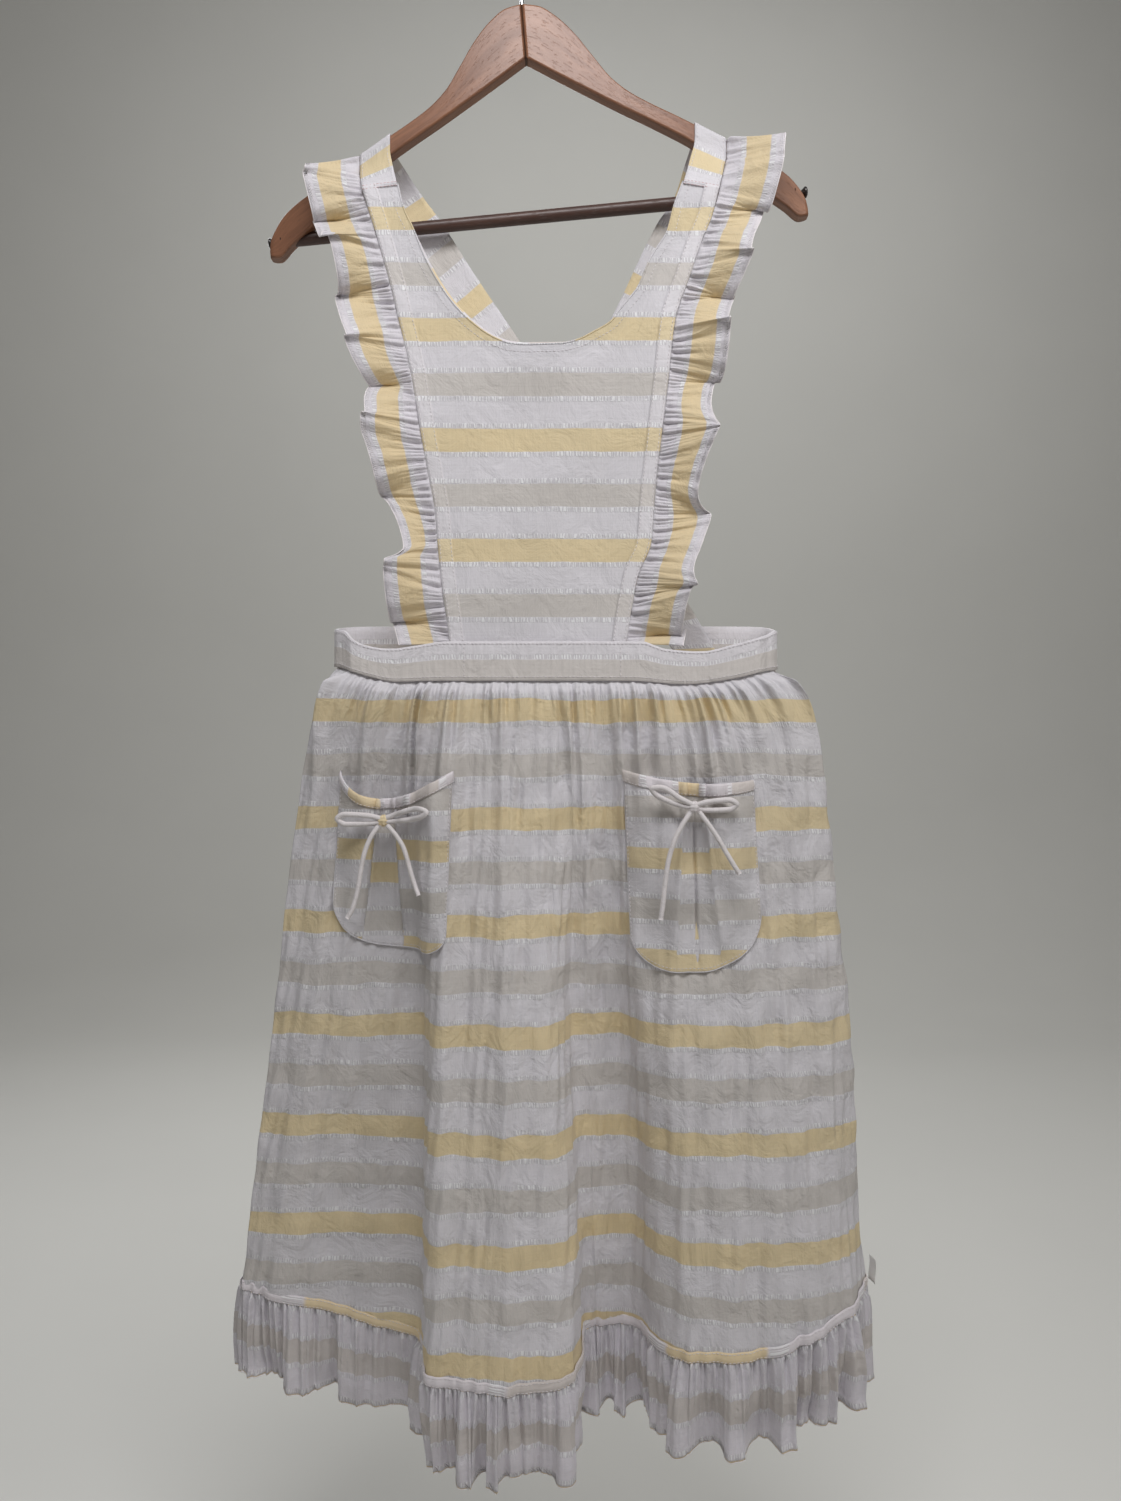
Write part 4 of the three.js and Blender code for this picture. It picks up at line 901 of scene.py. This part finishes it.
BACKS = {
    "left": dict(waist=[[0, -143.6, 7.6], [0.3, -146.4, 46], [0.5, -112, 50], [1, -31, 51]], hem=[[0, -233.5, 51.8], [0.12, -236, 66], [0.24, -222, 80], [0.5, -165, 76], [0.75, -110, 88], [1, -52, 78]], zw=(-597.4, -592.4), zh=(-1117, -1106), sgn=-1, side=1),
    "right": dict(waist=[[0, 208.8, 7.6], [0.3, 211.6, 46], [0.5, 185, 50], [1, 131, 51]], hem=[[0, 290.4, 33.9], [0.12, 292, 52], [0.24, 276, 72], [0.5, 220, 78], [0.75, 160, 90], [1, 104, 80]], zw=(-597.6, -592.4), zh=(-1098, -1104), sgn=1, side=-1),
}


def back_base(B, s, d):
    w, h = np.array(B["waist"]), np.array(B["hem"])
    ax, ay = pchip(w[:, 0], w[:, 1], s), pchip(w[:, 0], w[:, 2], s)
    bx, by = pchip(h[:, 0], h[:, 1], s), pchip(h[:, 0], h[:, 2], s)
    k, e = np.clip(d, 0, 1.2) ** 0.94, smooth(s / 0.3)
    f = (flare(d, 28, 0.05, 0.8) if B["sgn"] > 0 else -flare(d, 16, 0.05, 1.2)) * (1 - s) ** 2
    f = f - B["sgn"] * (2.5 * smooth(d / 0.05) + 6.0 * np.sin(np.pi * np.clip(d, 0, 1)) ** 0.7) * (1 - s) ** 0.7 * smooth(s / 0.08)
    return np.stack([mix(ax, bx, k) + f, mix(ay, by, k), mix(mix(B["zw"][0], B["zw"][1], e), mix(B["zh"][0], B["zh"][1], s), d)], -1)


def back_full(B, s, d, seed):
    P = back_base(B, s, d)
    e = 2e-3
    T = back_base(B, np.clip(s + e, 0, 1), d) - back_base(B, np.clip(s - e, 0, 1), d)
    N = unit(np.stack([-T[..., 1], T[..., 0], 0 * T[..., 0]], -1)) * B["side"]
    dmm = d * 515
    g = pleats(s, dmm, seed, 24, 26, 170, 3.4) - 1.0 * np.exp(-dmm / 60)
    soft = 2.0 * noise2(s * 4 + 0 * d, d * 1.1 + 0 * s, seed + 1, 9) * smooth(dmm / 120)
    P = P + N * (g + soft)[..., None]
    # the side seam: drawn onto the front panel's edge, and let go a little way round
    dd = np.broadcast_to(d, P.shape[:-1])
    ss = np.broadcast_to(s, P.shape[:-1])
    F, _ = skirt_full(np.full(dd.shape, 1.0 if B["sgn"] > 0 else 0.0), dd)
    gap = F - back_base(B, np.zeros(dd.shape), dd)
    P = P + gap * np.exp(-((ss / 0.10) ** 2))[..., None] - (N * (g + soft)[..., None]) * np.exp(-((ss / 0.04) ** 2))[..., None]
    return P, N


for tag, B in BACKS.items():
    S2, D2 = np.meshgrid(np.linspace(0, 1, 180), np.concatenate([np.linspace(-0.012, 0.25, 60), np.linspace(0.26, 1, 80)]), indexing="ij")
    P, N = back_full(B, S2, np.clip(D2, 0, 1), 301 + B["side"])
    P[..., 2] = np.where(D2 < 0, P[..., 2] - D2 * 515, P[..., 2])
    bb = back_base(B, S2, np.clip(D2, 0, 1))
    o = sheet("skirt_back_%s_cloth" % tag, P, S2 * 0.23 + 1.0, (-bb[..., 2] - 633.3) * (88 / 85) * MM, COTTON_SKIRT, 0.4)
    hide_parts("skirt_back_" + tag)
    hem_trim("back_" + tag, lambda t, B=B: back_full(B, 0.002 + 0.993 * t, np.ones_like(t), 301 + B["side"]), 0.26, 5, 401 + B["side"], ("hem_binding_back_" + tag, "hem_ruffle_back_" + tag), 0.9, lambda t: 0.03 + 0.05 * t)
    # the free back edge is turned and stitched
    e = P[-1]
    runs = [(P[-4] + N[-4] * 0.35, N[-4])]
    stitches("skirt_back_%s_edge_stitching" % tag, runs)

# ------------------------------------------------------------------ pockets
SKF = SK.reshape(-1, 3)


def skirt_front_y(x, z, r=4.0):
    """The foremost y of the skirt near each (x, z)."""
    x, z = np.asarray(x, float), np.asarray(z, float)
    out = np.zeros(x.size)
    m = (SKF[:, 2] > z.min() - 12) & (SKF[:, 2] < z.max() + 12) & (SKF[:, 0] > x.min() - 12) & (SKF[:, 0] < x.max() + 12)
    Q = SKF[m]
    xf, zf = x.ravel(), z.ravel()
    for i in range(0, x.size, 400):
        d2 = ((xf[i:i + 400, None] - Q[None, :, 0]) / r) ** 2 + ((zf[i:i + 400, None] - Q[None, :, 2]) / r) ** 2
        y = np.where(d2 < 1, Q[None, :, 1], 1e3)
        k = y.min(1)
        near = d2.argmin(1)
        out[i:i + 400] = np.where(k > 900, Q[near, 1], k)
    return out.reshape(x.shape)


POCKET = {
    "left": dict(x0=-138.5, x1=-47.5, b0=-147, b1=-53, out=17.0, zt=lambda u: -681 - 22 * (4 * u ** 0.72 * (1 - u ** 0.72)) ** 1.05, zb=lambda u: mix(-818, -827, u), rad=(0.40, 32, 0.26, 20), knot=0.42, kv=0.865, vband=-742.6, drop=0.021),
    "right": dict(x0=86, x1=187.5, b0=92, b1=194, out=17.0, zt=lambda u: mix(-680, -688, u) - 6 * (4 * u * (1 - u)), zb=lambda u: mix(-838, -838, u) + 0 * u, rad=(0.36, 30, 0.52, 44), knot=0.52, kv=0.885, vband=-748.4, drop=0.004),
}
KNOTS = {}
FRONTS = {}


def lay_on(q, cloth, gap, r=4.0):
    """Bring a cord's centreline clear of the cloth behind it, without kinks."""
    y = q[:, 1].copy()
    for i, p in enumerate(q):
        m = (np.abs(cloth[:, 0] - p[0]) < r) & (np.abs(cloth[:, 2] - p[2]) < r)
        if m.any():
            y[i] = min(y[i], cloth[m, 1].min() - gap)
    for _ in range(6):
        sm = y.copy()
        sm[1:-1] = (y[:-2] + y[1:-1] + y[2:]) / 3
        y = np.minimum(y, sm)
    for _ in range(4):
        y[1:-1] = (y[:-2] + 2 * y[1:-1] + y[2:]) / 4
    out = q.copy()
    out[:, 1] = y
    return out


def pocket(tag):
    c = POCKET[tag]
    nu, nv = 170, 110
    u1, v1 = np.linspace(0, 1, nu), np.linspace(0, 1, nv)
    u, v = np.meshgrid(u1, v1, indexing="ij")
    mid = 4 * u * (1 - u)
    a0, r0, a1, r1 = c["rad"]
    q0, q1 = np.clip(1 - u / a0, 0, 1), np.clip(1 - (1 - u) / a1, 0, 1)
    lift = r0 * (1 - np.sqrt(1 - q0 ** 2 * 0.999)) + r1 * (1 - np.sqrt(1 - q1 ** 2 * 0.999))
    z = mix(c["zb"](u) + lift, c["zt"](u), v)
    x = mix(mix(c["b0"], c["b1"], u), mix(c["x0"], c["x1"], u), v)
    fy = skirt_front_y(x, z)
    # smooth the rest height along the pocket, so that it spans small gathers
    for _ in range(16):
        fy[1:-1] = np.minimum(fy[1:-1], (fy[:-2] + fy[2:] + fy[1:-1]) / 3)
        fy[:, 1:-1] = np.minimum(fy[:, 1:-1], (fy[:, :-2] + fy[:, 2:] + fy[:, 1:-1]) / 3)
    bulge = c["out"] * mid ** 0.62 * smooth(v * 1.1) ** 0.8
    y = fy - 0.9 - bulge
    # box pleat under the knot: a recessed centre between two folds that open downwards
    kc = c["knot"]
    du = (u - kc) / (0.055 + 0.10 * (1 - v))
    pleat = np.exp(-np.abs(du) ** 3.0) * smooth(v / 0.25)
    ridge = (np.exp(-((np.abs(du) - 1.2) / 0.27) ** 2)) * smooth(v / 0.2)
    y = y + 5.5 * pleat * (0.35 + 0.65 * v) - 3.6 * ridge * (0.45 + 0.55 * v)
    if tag == "right":
        y = y + 3.6 * np.exp(-(((u - kc + 0.006 * (1 - v)) / 0.011) ** 2)) * smooth(v / 0.12) * (v < 0.9)
    else:
        y = y + 2.6 * np.exp(-(((np.abs(du) - 1.15) / 0.13) ** 2)) * smooth(v / 0.12) * (v < 0.86)
    y = y - 1.5 * noise2(u * 2.2, v * 1.6, 7 + len(tag)) * mid ** 0.5 * smooth(v / 0.15)
    # creases that run from the knot to the mouth's corners
    y = y - 1.6 * np.sin((u - kc) * 34 + 2.0 * v) * np.exp(-((v - 0.95) / 0.22) ** 2) * mid
    P = np.stack([x, y, z], -1)
    shift = c["drop"] * (np.abs(du) < 1.15) * (v < 0.86)
    V = (-z + c["vband"]) * (88 / 80.5) * MM - shift
    o = sheet("pocket_%s_cloth" % tag, P, x * MM + 0.3, V, COTTON, 0.5)
    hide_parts("pocket_" + tag)
    T, S_ = np.gradient(P, axis=0), np.gradient(P, axis=1)
    N = unit(np.cross(T, S_))
    N = np.where(N[..., 1:2] > 0, -N, N)
    # edge stitching: sides and bottom
    runs = []
    for k in (2,):
        path = np.concatenate([P[k, ::-1][6:], P[k:-k, k], P[-1 - k, k:-6]])
        nrm = np.concatenate([N[k, ::-1][6:], N[k:-k, k], N[-1 - k, k:-6]])
        runs.append((path + nrm * 0.35, nrm))
    stitches("pocket_%s_stitching" % tag, runs)
    edge = np.concatenate([P[0, ::-1], P[1:-1, 0], P[-1]])
    tube("pocket_%s_turned_edge" % tag, edge, 0.55, 6, COTTON)
    # mouth band
    w = np.linspace(0, 1, 9)
    jt = np.linspace(nv - 1 - 7, nv - 1, 9)
    Pb = np.stack([np.stack([np.interp(jt, np.arange(nv), P[i, :, k]) for k in range(3)], -1) for i in range(nu)])
    Nb = np.stack([np.stack([np.interp(jt, np.arange(nv), N[i, :, k]) for k in range(3)], -1) for i in range(nu)])
    Pb = Pb + Nb * (0.55 + 0.9 * np.sin(np.pi * w) ** 0.6)[None, :, None]
    Pb[:, -1, 2] += 0.6
    s = arc(P[:, -1]) * MM
    s = (s - 0.034) * 0.62 if tag == "left" else (s - 0.060) * 0.8
    o = sheet("pocket_mouth_band_%s_cloth" % tag, Pb, w[None] * 0.008 + 0 * s[:, None], s[:, None] + 0 * w[None], COTTON_BIND, 0.5)
    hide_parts("pocket_mouth_band_" + tag)
    stitches("pocket_mouth_band_%s_stitching" % tag, [(Pb[:, 1] + Nb[:, 1] * 0.3, Nb[:, 1])])
    ki = int(kc * (nu - 1))
    kj = int(c["kv"] * (nv - 1))
    near = P[max(0, ki - 14):ki + 15, kj - 8:kj + 9]
    k = np.array([P[ki, kj, 0], near[..., 1].min() - 3.6, P[ki, kj, 2]])
    KNOTS[tag] = k
    FRONTS[tag] = np.concatenate([P.reshape(-1, 3), Pb.reshape(-1, 3)])
    # bar tacks at the mouth's corners
    runs = []
    for i in (1, nu - 2):
        a = Pb[i, 2] + Nb[i, 2] * 0.4
        runs.append((np.stack([a + np.array([d_, 0, 0.25 * (-1) ** int(d_ * 4)]) for d_ in np.linspace(-3, 3, 9)]), np.tile(Nb[i, 2], (9, 1))))
    stitches("pocket_%s_bar_tacks" % tag, runs, None, 1.2, 0.1, 0.35)
    return P


for tag in ("left", "right"):
    pocket(tag)

LOOPS = {
    "left": [[(0, 0, 1), (-12, -2, 4), (-30, -2, 5), (-36, -1, 1.5), (-29, 0, -3), (-12, 0.5, -2.5), (0, 0, -1)], [(0, 0, 1), (10, -2, 5), (29, -4, 10), (36, -4, 7.5), (29, -3, 3), (11, -1, 0), (0, 0, -1)]],
    "right": [[(0, 0, 1), (-10, -2, 6), (-27, -2, 15), (-33, -1, 14), (-29, 0, 9), (-12, 0.5, 1.5), (0, 0, -1)], [(0, 0, 1), (10, -2, 4), (26, -2, 5.5), (32, -1, 2), (26, 0, -2), (11, 0.5, -2.5), (0, 0, -1)]],
}
TAILS = {
    "left": [[(-3, -2.0, -3.4), (-9, -3.5, -12), (-14, -3.5, -24), (-17.5, -3, -40), (-20, -2.6, -55), (-24, -2, -69), (-28, -1.5, -76)], [(3, -2.0, -3.4), (10, -3.5, -11), (16.5, -3.5, -22), (20.5, -3, -36), (24, -2.6, -48), (28, -2.2, -58)]],
    "right": [[(-3, -2.0, -3.4), (-9.5, -3.5, -13), (-16, -3.5, -26), (-20.5, -3, -42), (-23, -2.6, -60), (-24.5, -2, -75), (-26, -1.5, -86)], [(3, -2.0, -3.4), (9.5, -3.5, -12), (17, -3.5, -23), (24, -3, -35), (29.5, -2.6, -44), (34, -2.2, -51)]],
}
for tag in ("left", "right"):
    k = KNOTS[tag]
    # the knot: a small crushed wrap
    n1, n2 = 28, 20
    vk = 0.0 if tag == "left" else 0.02
    th, ph = np.meshgrid(np.linspace(0, 2 * np.pi, n1, endpoint=False), np.linspace(0.02, np.pi - 0.02, n2), indexing="ij")
    rr = 1 + 0.10 * np.sin(5 * th + 1.2 * ph) + 0.07 * np.sin(9 * ph)
    K = np.stack([4.3 * rr * np.sin(ph) * np.cos(th), 3.0 * rr * np.sin(ph) * np.sin(th), 4.2 * rr * np.cos(ph)], -1) + k
    verts = K.transpose(1, 0, 2).reshape(-1, 3)
    faces = grid_faces(n2, n1, True).tolist() + [list(range(n1))[::-1], [(n2 - 1) * n1 + i for i in range(n1)]]
    uvk = np.stack([np.tile(np.linspace(0, 0.026, n1), n2), np.repeat(np.linspace(-0.004, 0.004, n2) + vk, n1)], -1)
    o = obj_from("pocket_bow_%s_knot" % tag, verts, [f[::-1] for f in faces], uvk, COTTON_TIE, "apron")
    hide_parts("pocket_bow_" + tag)
    for i, lp in enumerate(LOOPS[tag]):
        q = spline3(np.array(lp) * np.array([1, 1, 1]) + k, np.linspace(0, 1, 60))
        q = lay_on(q, FRONTS[tag], 2.3)
        r = 2.0 + 0.2 * np.sin(np.linspace(0, np.pi, 60))
        o = tube("pocket_bow_%s_loop_%s" % (tag, "ab"[i]), q, r, 12, COTTON_TIE, "apron", flat=0.85)
    for i, tl in enumerate(TAILS[tag]):
        q = lay_on(spline3(np.array(tl) + k, np.linspace(0, 1, 50)), FRONTS[tag], 2.1)
        # the tail rests on the pocket
        o = tube("pocket_tie_%s_%s_cloth" % (tag, "ab"[i]), q, 1.9, 12, COTTON_TIE, "apron")
        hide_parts("pocket_tie_%s_%s" % (tag, "ab"[i]))

# ------------------------------------------------------------------ care label
p = skirt_base(np.array(1.0), np.array(0.955))
a = np.linspace(0, 1, 30)
prof = np.stack([2.5 + 2.2 * np.sin(a * np.pi * 0.5), -3 - 11 * a, 0 * a], -1)
zz = np.linspace(0, 1, 12)
P = p + prof[:, None] + np.stack([0 * zz, 0 * zz, -3 - 20 * zz], -1)[None]
P[..., 0] += 0.5 * np.sin(zz * 5)[None]
o = sheet("care_label_blank", P, a[:, None] * 0.011 + 0 * zz[None], zz[None] * 0.02 + 0 * a[:, None], LABEL, 0.35)
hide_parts("care_label")

# ------------------------------------------------------------------ studio
def stage_mesh(name, verts, faces, mat):
    me = bpy.data.meshes.new(name)
    me.from_pydata(verts, [], faces)
    me.polygons.foreach_set("use_smooth", [True] * len(me.polygons))
    ob = bpy.data.objects.new(name, me)
    me.materials.append(mat)
    bpy.context.scene.collection.objects.link(ob)
    return ob


FLOOR = plain("studio_pale", (0.74, 0.735, 0.70), 0.9, scale=3)
prof = [(-6.0, -1.46)] + [(2.2, -1.46)]
for k in range(1, 17):
    a = math.radians(90 * k / 16)
    prof.append((2.2 + 1.4 * math.sin(a), -1.46 + 1.4 * (1 - math.cos(a))))
prof.append((3.6, 4.0))
vs, fs = [], []
for y, z in prof:
    vs += [(-7, y, z), (7, y, z)]
for i in range(len(prof) - 1):
    fs.append((2 * i, 2 * i + 1, 2 * i + 3, 2 * i + 2))
stage_mesh("studio_backdrop", vs, fs, FLOOR)


def area(name, loc, target, size, power, color=(1, 1, 1)):
    li = bpy.data.lights.new(name, "AREA")
    li.shape, li.size, li.size_y = "RECTANGLE", size[0], size[1]
    li.energy, li.color = power, color
    ob = bpy.data.objects.new(name, li)
    bpy.context.scene.collection.objects.link(ob)
    from mathutils import Vector
    ob.location = loc
    ob.rotation_euler = (Vector(target) - Vector(loc)).to_track_quat("-Z", "Y").to_euler()
    ob.visible_camera = False


area("key", (0.10, -0.95, 0.55), (0.03, 0.0, -0.6), (1.0, 0.45), 16.6, (0.985, 0.985, 1.0))
area("side", (1.5, -1.1, 0.2), (0.0, 0.0, -0.4), (0.7, 0.9), 7.0, (1.0, 0.98, 0.95))
area("behind", (-0.5, 1.5, 0.5), (0.0, 0.1, -0.7), (1.4, 1.0), 15.0, (0.97, 0.98, 1.0))
area("wall_wash", (0.2, 1.4, 1.9), (0.0, 3.5, 0.3), (2.5, 0.8), 26.0)
world = bpy.data.worlds.new("studio")
bpy.context.scene.world = world
world.use_nodes = True
bg = world.node_tree.nodes["Background"]
bg.inputs[0].default_value = (1.0, 0.98, 0.95, 1)
bg.inputs[1].default_value = 0.14
bpy.context.scene.view_settings.view_transform = "Standard"

cam = bpy.data.cameras.new("camera")
cam.sensor_fit = "VERTICAL"
cam.sensor_height = 36
cam.lens = 1127.4 / 1501 * 36
cam.clip_start = 0.01
co = bpy.data.objects.new("camera", cam)
co.location = (0.0364, -0.9, -0.6645)
co.rotation_euler = (math.radians(90), 0, 0)
bpy.context.scene.collection.objects.link(co)
bpy.context.scene.camera = co
